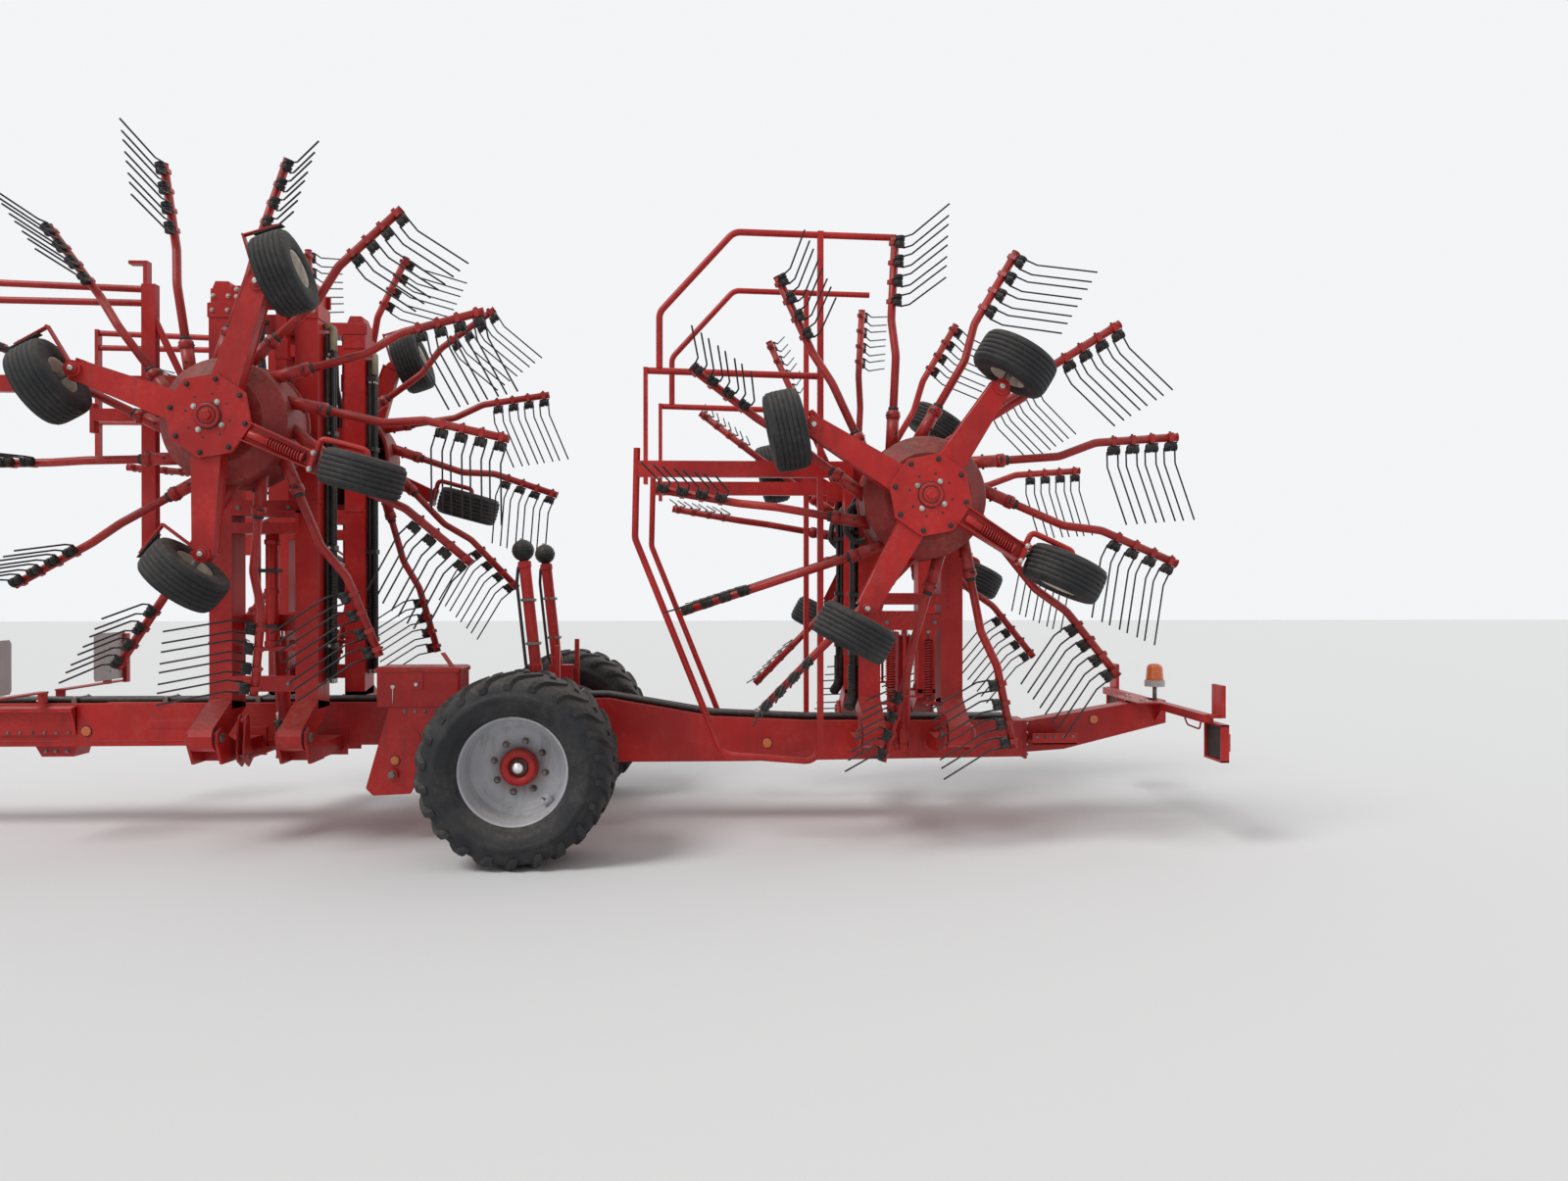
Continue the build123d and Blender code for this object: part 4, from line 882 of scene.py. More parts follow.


# Reels: drum in a darker red for dirt and painted shade, sockets, cranked arms with their double spring
# tines
reel = {
    "planeY": 0.980,
    "drumInnerY": 0.760,
    "drumOuterY": 1.190,
    "drumRadius": 0.350,
    "armCount": 13,
    "aside": 0.190,
    "tipLead": 5.9,
    "armLength": 1.527,
    "tubeRadius": 0.024,
    "socketRadius": 0.036,
    "socketStart": 0.262,
    "socketEnd": 0.480,
    "crankStart": 0.820,
    "crankEnd": 1.040,
    "crankOffset": 0.065,
    "tineReach": 0.490,
    "wireRadius": 0.0052,
    "coilRadius": 0.028,
    "coilLength": 0.026,
    "coilTurns": 2.6,
    "firstTine": 1.146,
    "tinePitch": 0.113,
    "tinesOnArm": 4,
    "kinkShare": 0.30,
    "kinkBack": -0.006,
    "lean": 0.077,
    "phase": {("front", "left"): 98.4, ("front", "right"): 92.1, ("rear", "left"): 87.3,
              ("rear", "right"): 87.1},
    # arm angle, then how far the tine lies in the reel's plane, both in degrees
    "front": [(-180, 0), (-110, 0), (-92, 55), (-60, 76), (-14, 88), (47, 88), (76, 37), (104, 0), (180, 0)],
    "rear": [
        (-180, 9), (-150, 0), (-110, 0), (-92, 55), (-60, 76), (-14, 88), (40, 88), (68, 60), (97, 22),
        (125, 19),
        (152, 12), (180, 9),
    ],
}


def tineArm(sizes):
    # One arm along X, its tines toward +Y, crank bent away from them
    arm = Piece("tineArm", reelPaint)
    outer = -sizes["crankOffset"]
    radius = sizes["tubeRadius"]
    arm.tube([(sizes["socketStart"], 0, 0), (sizes["crankStart"], 0, 0), (sizes["crankEnd"], outer, 0),
              (sizes["armLength"], outer, 0)], radius, sides=12, bend=0.16, steps=4)
    arm.rod((sizes["socketStart"], 0, 0), (sizes["socketEnd"], 0, 0), sizes["socketRadius"], sides=14)
    # cast clamp with its bolt at the socket's mouth, and the bolt through the socket
    mouth = sizes["socketEnd"]
    arm.lathe([(-0.030, sizes["socketRadius"] - 0.004), (-0.026, sizes["socketRadius"] + 0.004),
               (0.012, sizes["socketRadius"] + 0.005), (0.024, sizes["tubeRadius"] + 0.004),
               (0.034, sizes["tubeRadius"] + 0.001)], (mouth, 0, 0), (1, 0, 0), 14, smooth=True)
    arm.use(socketIron).lathe([(0.022, sizes["tubeRadius"] + 0.001), (0.024, sizes["tubeRadius"] + 0.006),
               (0.040, sizes["tubeRadius"] + 0.006), (0.042, sizes["tubeRadius"] + 0.001)], (mouth, 0, 0),
               (1, 0, 0),
              14, smooth=True)
    arm.bar((mouth - 0.008, 0, -0.040), (mouth - 0.008, 0, 0.040), 0.020, 0.014, (1, 0, 0))
    arm.rod((mouth - 0.008, -0.018, 0.037), (mouth - 0.008, 0.018, 0.037), 0.005, sides=6)
    arm.rod((mouth - 0.008, -0.018, -0.037), (mouth - 0.008, 0.018, -0.037), 0.005, sides=6)
    arm.rod((mouth - 0.110, -0.044, 0), (mouth - 0.110, 0.044, 0), 0.008, sides=6)
    coilY = outer + sizes["coilRadius"] + radius + 0.001
    middle = sizes["coilRadius"] - sizes["wireRadius"]
    for number in range(sizes["tinesOnArm"]):
        x = sizes["firstTine"] + number * sizes["tinePitch"]
        arm.use(reelPaint).bar((x, outer - radius - 0.002, 0), (x, outer + radius + 0.002, 0), 0.026, 0.050,
                               (1, 0, 0))
        arm.use(socketIron).rod((x, outer - radius - 0.012, 0), (x, coilY + 0.020, 0), 0.0075, sides=6)
        arm.use(coilBlack).bar((x, outer + radius, 0), (x, coilY + 0.016, 0), 0.014, 0.034, (1, 0, 0))
        for half in (-1, 1):
            near = x + half * 0.006
            far = near + half * sizes["coilLength"]
            arm.use(coilBlack).coil((near, coilY, 0), (far, coilY, 0), middle, sizes["wireRadius"] + 0.0008,
                     sizes["coilTurns"], perTurn=11)
            arm.rod((near, coilY, 0), (far - half * 0.002, coilY, 0), middle - 0.003, sides=9)
            arm.use(tineSteel)
            legs = [
                (far - 0.003, coilY + 0.004, middle),
                (far - 0.003 + sizes["kinkBack"], outer + sizes["kinkShare"] * sizes["tineReach"],
                 middle - 0.002),
                (far - 0.003 + sizes["lean"], outer + sizes["tineReach"], middle - 0.008),
            ]
            arm.tube(legs, sizes["wireRadius"], sides=6, bend=0.035, steps=3)
    arm.use(reelPaint).rod((sizes["armLength"] - 0.004, outer, 0), (sizes["armLength"], outer, 0),
                           radius + 0.002, sides=12)
    return arm.made(shown=False)


def armPlaces(sizes, end, side, centre):
    places = []
    for number in range(sizes["armCount"]):
        angle = sizes["phase"][(end, side)] + number * 360 / sizes["armCount"]
        roll = math.radians(between((angle + sizes["tipLead"] + 180) % 360 - 180, sizes[end]))
        radial = aroundRotor(angle)
        tine = math.sin(roll) * aroundRotor(angle - 90) + Vector((0, math.cos(roll), 0))
        turn = Matrix((radial, tine, radial.cross(tine))).transposed().to_euler()
        foot = Vector((centre.x, sizes["planeY"], centre.z)) + aroundRotor(angle + 90, sizes["aside"])
        places.append((tuple(foot), tuple(turn), 1.0))
    return places


def drumShape(name, sizes, centre):
    # Open drum with a rolled rim, stiffening ribs inside and a hub tube
    # the drum's darker paint holds painted shade as well as dirt
    drum = Piece(name, drumPaint)
    inner, outer, radius = pick(sizes, "drumInnerY", "drumOuterY", "drumRadius")
    hub = (centre.x, 0, centre.z)
    drum.lathe([
        (outer - 0.004, 0.0475), (outer, 0.052), (outer, 0.246), (outer - 0.006, 0.254),
        (outer - 0.082, radius - 0.006), (outer - 0.090, radius), (inner + 0.040, radius),
        (inner + 0.034, radius + 0.012), (inner + 0.020, radius + 0.012), (inner + 0.015, radius),
        (inner + 0.015, radius - 0.013), (outer - 0.095, radius - 0.013), (outer - 0.013, 0.245),
        (outer - 0.013, 0.080), (inner + 0.006, 0.080), (inner + 0.006, 0.0475),
    ], hub, (0, 1, 0), 56, ring=True)
    for number in range(sizes["armCount"]):
        angle = 360 / sizes["armCount"] * (number + 0.5)
        start = Vector(hub) + aroundRotor(angle, 0.08) + Vector((0, inner + 0.20, 0))
        end = Vector(hub) + aroundRotor(angle, radius - 0.010) + Vector((0, inner + 0.20, 0))
        drum.bar(start, end, 0.300, 0.006, (0, 1, 0))
    return drum.made()


armPart = tineArm(reel)
for end in ends:
    for side in sides:
        centre = rotorAt[(end, side)]
        dressed = setCopies(f"reelDressed_{end}_{side}", armPart, armPlaces(reel, end, side, centre),
                            reelPaint, ownFinish=True)
        joinInto(dressed, [drumShape(f"drum_{end}_{side}", reel, centre)])
        place(dressed, f"reel_{end}_{side}", "reel_red", f"reel_{end}_{side}", flip=side == "right")
print("reels made")
# Rotor frames: back plate, gearbox, hub plate with its bolts, wheel arms, forks, springs and scrapers
rotorFrame = {
    "backY": 0.615,
    "faceY": 0.645,
    "backHalf": (0.220, 0.190),
    "backCut": 0.045,
    "gearboxRadius": 0.165,
    "gearboxEnd": 0.745,
    "axleRadius": 0.046,
    "plateY": 1.300,
    "plateRadius": 0.235,
    "plateTurn": -12.0,
    "armBack": 1.202,
    "armFace": 1.278,
    "armRoot": 0.110,
    "armWidths": (0.168, 0.112),
    "trailWidths": (0.1176, 0.096),
    "stubReach": 0.1485,
    "stubRadius": 0.020,
    # which way a front wheel's scraper stands off the tread, as an angle around the rotor
    "scrapers": {"a": 90, "b": 80, "c": 110},
    "scraperGap": 0.022,
    "loopStart": 0.600,
    "loopY": 1.262,
}


def atY(point, y):
    return Vector((point.x, y, point.z))


def armStrip(frame, sizes, start, end, widths):
    # Flat tapered arm between two points, whose corners and direction it gives back
    along = (end - start).normalized()
    across = Vector((-along.z, 0, along.x))
    near, far = across * widths[0] / 2, across * widths[1] / 2
    corners = [start + near, end + far, end - far, start - near]
    frame.sidePlate([(corner.x, corner.z) for corner in corners], sizes["armBack"], sizes["armFace"])
    return corners, along


def trailingArm(frame, sizes, hub, root, centre, axis):
    # Flanged arm with its spring, and the bent tube that carries the wheel
    face, wheelY, side = sizes["armFace"], rotorWheel["y"], rotorWheel["width"] / 2 + 0.030
    roll = Vector((axis.z, 0, -axis.x))
    if roll.dot(centre - hub) > 0:
        roll = -roll
    yoke = centre + roll * (rotorWheel["radius"] + 0.040)
    corners, along = armStrip(frame, sizes, root, yoke, sizes["trailWidths"])
    inward = (corners[3] - corners[0]).normalized()
    for near, far, shift in ((corners[0], corners[1], inward * 0.004),
                             (corners[3], corners[2], inward * -0.004)):
        frame.bar(atY(near.lerp(far, 0.16) + shift, face + 0.014), atY(far + shift, face + 0.014), 0.008,
                  0.036, inward)
    frame.bar(atY(yoke - axis * 0.066, 1.2725), atY(yoke + axis * 0.066, 1.2725), 0.022, 0.105, roll)
    frame.tube([atY(point, wheelY) for point in (yoke - axis * 0.020, yoke + axis * side,
                                                 centre + axis * side,
                                                 centre + axis * 0.050)], sizes["stubRadius"] - 0.003,
                                                 sides=14, bend=0.036)
    foot, collarIn, ring, low, neck, collarOut, high, end = [
        atY(hub + along * reach, face + 0.008) for reach in (0.235, 0.342, 0.330, 0.340, 0.540, 0.552, 0.548,
                                                             0.560)
    ]
    frame.rod(foot, collarIn, 0.025, sides=18)
    frame.rod(neck, collarOut, 0.030, sides=18)
    frame.use(springRed).coil(low, high, 0.0265, 0.0048, 13)
    frame.use(socketIron).rod(foot, end, 0.011, sides=10)
    frame.lathe([(0, 0.017), (0.016, 0.017)], ring, along, 6)
    frame.bolts([atY(yoke + axis * way, 1.325) for way in (-0.045, 0.045)], (0, 1, 0), 0.9)


def scraper(frame, sizes, label, centre, end, axis):
    # Plate a little off the tread, on a bent flat bar from the arm's end
    off = aroundRotor(sizes["scrapers"][label])
    off = (off - axis * off.dot(axis)).normalized()
    tread, y = rotorWheel["radius"] + sizes["scraperGap"], rotorWheel["y"]
    plate = centre + off * tread
    corner = centre + off * (tread + 0.012) + axis * (sizes["stubReach"] - 0.012)
    frame.bar(atY(end + off * 0.02, y), atY(corner + off * 0.012, y), 0.040, 0.010, (0, 1, 0))
    frame.bar(atY(corner + off * 0.004 + axis * 0.006, y), atY(plate + off * 0.0095 - axis * 0.060, y),
              0.036, 0.009,
              (0, 1, 0))
    frame.use(socketIron).slab([(-0.082, -0.024), (0.082, -0.024), (0.082, 0.024), (-0.082, 0.024)],
                               atY(plate, y),
                               axis, (0, 1, 0), 0.007)
    frame.bolts([atY(plate + off * 0.014 + axis * way, y) for way in (-0.035, 0.045)], off, 0.6, oldSteel)


def fixedArm(frame, sizes, root, end):
    # Lips on the arm's back edges, a cap and the boss with its nut at the end
    back, face = pick(sizes, "armBack", "armFace")
    corners, along = armStrip(frame, sizes, root, end, sizes["armWidths"])
    across = (corners[3] - corners[0]).normalized()
    for near, far in ((corners[0], corners[1]), (corners[3], corners[2])):
        frame.bar(atY(near.lerp(far, 0.12), back - 0.003), atY(far, back - 0.003), 0.010, 0.006, across)
    cap = end - along * 0.004
    frame.bar(atY(cap, back - 0.006), atY(cap, face + 0.006), sizes["armWidths"][1] + 0.014, 0.012, across)
    frame.rod(atY(end, 1.220), atY(end, 1.292), 0.046, sides=28)
    frame.lathe([(0, 0.030), (0.006, 0.030), (0.009, 0.026)], atY(end, 1.292), (0, 1, 0), 20)
    frame.use(zincSteel).lathe([(0, 0.017), (0.012, 0.017), (0.015, 0.013)], atY(end, 1.300), (0, 1, 0), 6)


def wheelArm(frame, sizes, hub, end, label, armAngle, axleAngle):
    root, centre = [hub + aroundRotor(armAngle, radius) for radius in (sizes["armRoot"],
                                                                       rotorWheel["reach"])]
    axis = aroundRotor(axleAngle)
    if axis.dot(centre - hub) > 0:
        axis = -axis
    frame.use(redPaint)
    if label == "d":
        stub, reach = centre + axis * 0.050, 0.110
        trailingArm(frame, sizes, hub, root, centre, axis)
    else:
        stub, reach = centre + axis * sizes["stubReach"], sizes["stubReach"] + 0.060
        fixedArm(frame, sizes, root, stub)
        if end == "front":
            frame.use(redPaint)
            scraper(frame, sizes, label, centre, stub, axis)
    frame.use(oldSteel).rod(atY(stub, rotorWheel["y"]), atY(stub - axis * reach, rotorWheel["y"]),
                            sizes["stubRadius"])


def rotorFrameShape(sizes, end, side):
    hub = atY(rotorAt[(end, side)], 0)
    frame = Piece(f"rotorFrame_{end}_{side}", redPaint)
    back, face, gearbox, gearboxEnd = pick(sizes, "backY", "faceY", "gearboxRadius", "gearboxEnd")
    plateY, turn, (half, high), cut = pick(sizes, "plateY", "plateTurn", "backHalf", "backCut")

    def around(angle, radius, y):
        return atY(hub + aroundRotor(angle, radius), y)

    eighths = [turn + 45 * number for number in range(8)]
    frame.slab([(-half, -high + cut), (-half + cut, -high), (half - cut, -high), (half, -high + cut),
                (half, high - cut), (half - cut, high), (-half + cut, high), (-half, high - cut)],
               atY(hub, (back + face) / 2), (1, 0, 0), (0, 0, 1), face - back)
    frame.bolts([hub + Vector((x, face, z)) for x in (-0.19, 0.19) for z in (-0.13, 0.0, 0.13)], (0, 1, 0))
    # hub plate with its bolts, bearing cap and nut; its holes are dark iron dots, painted shade
    corners = [around(angle, sizes["plateRadius"], plateY) for angle in eighths]
    frame.sidePlate([(corner.x, corner.z) for corner in corners], sizes["armFace"], plateY)
    for profile, segments in (
            ([(0, 0.068), (0.013, 0.068), (0.017, 0.064), (0.017, 0.052), (0.012, 0.050), (0.012, 0.001)],
             36),
            ([(0.013, 0.043), (0.018, 0.041), (0.020, 0.030)], 30),
            ([(0.019, 0.029), (0.033, 0.029), (0.036, 0.024)], 6)):
        frame.lathe(profile, atY(hub, plateY), (0, 1, 0), segments)
    frame.use(socketIron)
    for low, lift, radius, segments in ((-0.001, 0.0025, 0.0745, 36), (0.011, 0.014, 0.047, 30)):
        frame.lathe([(low, radius), (lift, radius)], atY(hub, plateY), (0, 1, 0), segments, smooth=True)
    # eight dark iron dots laid on the plate as its small holes: painted shade standing in for the holes
    for angle in eighths:
        frame.rod(around(angle, 0.120, plateY - 0.001), around(angle, 0.120, plateY + 0.0012), 0.0075,
                  sides=10)
    # the outer ring of bolts is in dark iron, which also paints the shade of the recesses they sit in
    frame.bolts([around(angle, 0.202, plateY) for angle in eighths], (0, 1, 0), 0.95, socketIron)
    frame.bolts([around(56 - 90 * number, 0.090, plateY) for number in range(4)], (0, 1, 0), 0.95)
    frame.use(reelPaint).lathe([
        (face - 0.002, 0.158), (face + 0.012, gearbox), (0.672, gearbox), (0.676, 0.150), (0.712, 0.146),
        (0.716, gearbox), (gearboxEnd - 0.006, gearbox), (gearboxEnd, 0.156),
    ], hub, (0, 1, 0), 40)
    frame.bolts([around(22.5 + 45 * number, 0.155, gearboxEnd) for number in range(8)], (0, 1, 0), 0.6,
                oldSteel)
    frame.use(oldSteel).rod(atY(hub, 0.740), atY(hub, 1.290), sizes["axleRadius"], sides=28)
    for label, (armAngle, axleAngle) in rotorWheel[end].items():
        wheelArm(frame, sizes, hub, end, label, armAngle, axleAngle)
    if end == "rear":
        # bent tube loop beside the first wheel
        armAngle, axleAngle = rotorWheel[end]["a"]
        axis = aroundRotor(axleAngle)
        roll = Vector((axis.z, 0, -axis.x))
        start = around(armAngle, sizes["loopStart"], sizes["loopY"])
        stub = around(armAngle, rotorWheel["reach"], sizes["loopY"]) + axis * 0.148
        frame.use(redPaint).tube([start, start + roll * 0.13, stub + roll * 0.10, stub], 0.012, sides=10,
                                 bend=0.05)
    return frame


for end, body in (("front", "telescope"), ("rear", "boom_rear")):
    for side in sides:
        fitOut(rotorFrameShape(rotorFrame, end, side), f"{body}_{side}", "frame_red",
               f"rotor_frame_{end}_{side}")
print("rotor frames made")
# Booms: columns, slanted feet, cross rows, springs, fold lugs and their hoses
boom = {
    "columnStep": 0.255,
    "half": 0.0675,
    "back": 0.350,
    "face": 0.550,
    "wall": 0.007,
    "footZ": 0.800,
    "top": {"front": 3.250, "rear": 2.330},
    "pivot": (0.755, 0.660),
    "footRadius": 0.080,
    "rodPin": (0.290, 1.300),
    "lugStep": 0.038,
    # cross rows: bottom, top, back and face
    "front": [(0.909, 1.003, 0.505, 0.550), (1.270, 1.370, 0.350, 0.375), (1.863, 1.928, 0.350, 0.550),
              (1.969, 2.063, 0.350, 0.550), (3.100, 3.180, 0.350, 0.550)],
    "rear": [(1.275, 1.371, 0.350, 0.550), (1.431, 1.497, 0.350, 0.550), (1.900, 2.200, 0.350, 0.550)],
    # collars round the front columns: bottom, top and how far they stand out
    "collars": [(3.160, 3.246, 0.006), (2.050, 2.062, 0.004), (1.200, 1.212, 0.004)],
    "plateY": 0.615,
}
spring = {
    "x": 0.116,
    "y": 0.500,
    "low": 0.865,
    "high": 1.215,
    "core": 0.031,
    "wire": 0.0052,
    "turns": 21,
    "rodY": 0.537,
    "rodStep": 0.038,
}
drawCylinder = {
    "at": (-0.010, 0.440),
    "low": 1.170,
    "high": 1.860,
    "radius": 0.040,
    "clamps": (1.180, 1.500, 1.800),
    "brackets": (1.300, 1.640),
}


def footOutline(sizes):
    # Slanted foot around the pivot, in Y and Z
    pivotY, pivotZ = sizes["pivot"]
    back, face, low, radius = pick(sizes, "back", "face", "footZ", "footRadius")
    turns = [math.radians(40 - 30 * step) for step in range(7)]
    return [(back, low), (back, low + 0.030), (face, low + 0.060), (pivotY + 0.046, pivotZ + 0.064),
            *[(pivotY + radius * math.cos(turn), pivotZ + radius * math.sin(turn)) for turn in turns],
            (pivotY - 0.052, pivotZ - 0.060)]


def section(sizes, x, inset, z):
    # A column's outline at one height, moved inward
    half, back, face = sizes["half"] - inset, sizes["back"] + inset, sizes["face"] - inset
    return [(x - half, back, z), (x + half, back, z), (x + half, face, z), (x - half, face, z)]


def column(shape, sizes, x, top, hollow):
    half, low, weld = sizes["half"], sizes["footZ"] + 0.004, (sizes["face"] + 0.001, sizes["footZ"] + 0.058)
    rows = [section(sizes, x, 0, low), section(sizes, x, 0, top)]
    if hollow:
        rows += [section(sizes, x, sizes["wall"], top), section(sizes, x, sizes["wall"], low + 0.042)]
    shape.use(redPaint).loops(rows, ring=hollow)
    # the foot, the weld bead round its top and the pivot's end rings
    shape.crossPlate(footOutline(sizes), x, 2 * half)
    shape.tube([(x - half, *weld), (x + half, *weld)], 0.006, sides=6)
    shape.use(socketIron)
    for way in (-1, 1):
        shape.lathe([(0, 0.062), (0.003, 0.062), (0.004, 0.058)], (x + way * half, *sizes["pivot"]),
                    (way, 0, 0), 24)


def hangingSpring(shape, sizes, x):
    # Close-wound spring over its core, hooked at its top and bolted through the plate under it
    y, low, high, core = pick(sizes, "y", "low", "high", "core")
    shape.use(springRed).coil((x, y, low + 0.006), (x, y, high - 0.006), core - 0.001, sizes["wire"],
                              sizes["turns"])
    shape.use(socketIron).rod((x, y, low), (x, y, high), core - 0.012, sides=14)
    shape.use(oldSteel).tube([(x, y, high - 0.002), (x, y, high + 0.034), (x + 0.014, y, high + 0.052),
                              (x, y, high + 0.068), (x - 0.014, y, high + 0.052)], 0.006, sides=8,
                              bend=0.008)
    shape.rod((x, y, low + 0.004), (x, y, low - 0.042), 0.008, sides=10)
    shape.use(zincSteel).lathe([(0, 0.013), (0.010, 0.013)], (x, y, low - 0.062), (0, 0, 1), 6)
    shape.use(redPaint).rod((x, y, 1.258), (x, y, 1.285), 0.012, sides=12)
    shape.bolts([(x, y + 0.006, high + 0.050)], (0, 1, 0), 0.7)


def rearTrim(shape, sizes, x, halfGap):
    # Springs with their plates, rods and bar, the gearbox's plate and the columns' caps
    y, low, rodY = pick(spring, "y", "low", "rodY")
    top, plateY = sizes["top"]["rear"], sizes["plateY"]
    for way in (-1, 1):
        hangingSpring(shape, spring, x + way * spring["x"])
        middle, rod = x + way * (halfGap - 0.045), x + way * spring["rodStep"]
        cap = x + way * sizes["columnStep"]
        shape.block((middle - 0.055, y - 0.030, low - 0.053), (middle + 0.055, y + 0.030, low - 0.037))
        shape.rod((rod, rodY, 0.860), (rod, rodY, 1.280), 0.009, sides=10)
        shape.block((cap - 0.060, sizes["back"] + 0.008, top - 0.002),
                    (cap + 0.060, sizes["face"] - 0.008, top + 0.006))
    shape.bar((x - 0.080, rodY, 0.866), (x + 0.080, rodY, 0.866), 0.024, 0.014, (0, 1, 0))
    shape.block((x - 0.180, sizes["face"] - 0.010, 1.910), (x + 0.180, plateY, 2.190))
    shape.bolts([(x + across, plateY, z) for across in (-0.150, 0.150) for z in (1.935, 2.165)], (0, 1, 0),
                0.9)


def frontTrim(shape, sizes, x, halfGap):
    # Collars round the columns, the cylinder that draws the telescope out, and the latch's bracket
    face, top = sizes["face"], sizes["top"]["front"]
    for middle in (x - sizes["columnStep"], x + sizes["columnStep"]):
        for low, high, proud in sizes["collars"]:
            shape.loops([section(sizes, middle, -proud, low), section(sizes, middle, -proud, high),
                         section(sizes, middle, 0.002, high), section(sizes, middle, 0.002, low)], ring=True)
        shape.bolts([(middle + across, face + 0.006, top - 0.047) for across in (-0.045, 0.045)], (0, 1, 0),
                    0.8)
    axis, y = x + drawCylinder["at"][0], drawCylinder["at"][1]
    for z in drawCylinder["clamps"]:
        shape.rod((axis, y, z), (axis, y, z + 0.030), 0.047, sides=24)
    shape.bar((x + 0.075, 0.450, 0.960), (x + 0.075, 0.450, 1.870), 0.030, 0.030, (1, 0, 0))
    shape.block((x - halfGap, 0.425, 1.150), (x + halfGap, 0.465, 1.176))
    latch = x - halfGap - 0.030
    shape.block((latch, face, 1.985), (latch + 0.120, face + 0.045, 2.000))
    shape.block((latch, face, 1.900), (latch + 0.012, face + 0.045, 2.000))
    shape.use(springRed).rod((axis, y, drawCylinder["low"]), (axis, y, drawCylinder["high"]),
                             drawCylinder["radius"],
                             sides=24)
    shape.use(socketIron)
    for z in drawCylinder["brackets"]:
        shape.bar((x - 0.055, y, z), (x + 0.090, y, z), 0.022, 0.090, (0, 0, 1))


def boomShape(sizes, end, side):
    x = rotorAt[(end, side)].x
    shape = Piece(f"boom_{end}_{side}", redPaint)
    halfGap, (rodY, rodZ), back = sizes["columnStep"] - sizes["half"], sizes["rodPin"], sizes["back"]
    for way in (-1, 1):
        column(shape, sizes, x + way * sizes["columnStep"], sizes["top"][end], end == "front")
        shape.use(redPaint).crossPlate([
            (back, rodZ + 0.066), (rodY - 0.030, rodZ + 0.026), (rodY - 0.036, rodZ - 0.022),
            (rodY, rodZ - 0.036),
            (back, rodZ - 0.024),
        ], x + way * sizes["lugStep"], 0.016)
    for low, high, inner, outer in sizes[end]:
        shape.block((x - halfGap - 0.001, inner + 0.001, low), (x + halfGap + 0.001, outer - 0.001, high))
        if high - low >= 0.09:
            shape.bolts([(x + way * (halfGap - 0.040), outer, (low + high) / 2) for way in (-1, 1)],
                        (0, 1, 0), 0.9,
                        oldSteel)
    (frontTrim if end == "front" else rearTrim)(shape, sizes, x, halfGap)
    return shape


def corrugated(shape, points, radius, bend=0.05, pitch=0.016, sides=12):
    # Ribbed protective sleeve along a path
    path = roundedPath(points, bend, 6)
    lengths = [0.0]
    for before, after in zip(path, path[1:]):
        lengths.append(lengths[-1] + (after - before).length)
    count = max(int(lengths[-1] / pitch) * 2, 4)
    fine, sizes = [], []
    for step in range(count + 1):
        reach = lengths[-1] * step / count
        place = max(index for index, length in enumerate(lengths[:-1]) if length <= reach + 1e-9)
        share = (reach - lengths[place]) / (lengths[place + 1] - lengths[place])
        fine.append(path[place].lerp(path[place + 1], share))
        sizes.append(radius if step % 2 else radius * 0.84)
    shape.tube(fine, sizes, sides=sides)


# Hoses beside the columns: each lane's distance out from the column and its Y
rearHose = {
    "lanes": [(0.014, 0.470), (0.014, 0.500), (0.040, 0.470), (0.040, 0.500), (0.027, 0.527)],
    "radius": 0.0115,
    "sleeve": 0.036,
    "loop": 0.019,
    "loopY": (0.560, 0.610),
    "clips": (1.120, 1.480, 1.860),
}
frontHose = {
    # and how much higher the hose hooks over
    "lanes": [(0.018, 0.400, 0.0), (0.018, 0.436, 0.0), (0.050, 0.400, 0.045), (0.050, 0.436, 0.045)],
    "gap": 0.0003,
    "radius": 0.014,
    "low": 0.950,
    "top": 3.090,
    "sleeve": (1.220, 2.440),
    "clips": (1.180, 1.780, 2.480, 2.960),
}


def rearHoses(shape, sizes, x):
    # Bundle up the wheel side of the rear boom, sleeved at the foot, with two loops at its top
    side = x + boom["columnStep"] + boom["half"]
    shape.use(hoseRubber)
    for lane, (out, y) in enumerate(sizes["lanes"]):
        lift = 0.016 * lane
        shape.tube([(side + out, y, 0.900), (side + out, y, 1.240), (side + out * 0.9, y, 1.700),
                    (side + out, y, 2.010 + lift), (side - 0.030, y, 2.060 + lift)], sizes["radius"],
                    sides=8, bend=0.05)
    shape.use(coilBlack)
    corrugated(shape, [(side + 0.028, 0.495, 1.060), (side + 0.028, 0.495, 0.860),
                       (side + 0.060, 0.560, 0.800)],
               sizes["sleeve"], bend=0.08)
    for y in sizes["loopY"]:
        corrugated(shape, [(side - 0.040, y, 2.080), (side + 0.060, y, 2.020), (side + 0.085, y, 1.880),
                           (side + 0.020, y, 1.810), (side - 0.040, y, 1.830)], sizes["loop"], bend=0.06)
    shape.use(socketIron)
    for z in sizes["clips"]:
        shape.block((side - 0.002, 0.452, z), (side + 0.058, 0.545, z + 0.026))
    # crimped sleeve and hexagon at each loop's end
    shape.use(zincSteel)
    for y in sizes["loopY"]:
        for profile, segments in (([(0, 0.022), (0.040, 0.022), (0.044, 0.017)], 14),
                                  ([(0.042, 0.023), (0.062, 0.023)], 6)):
            shape.lathe(profile, (side - 0.052, y, 2.086), (1, 0, -0.5), segments)


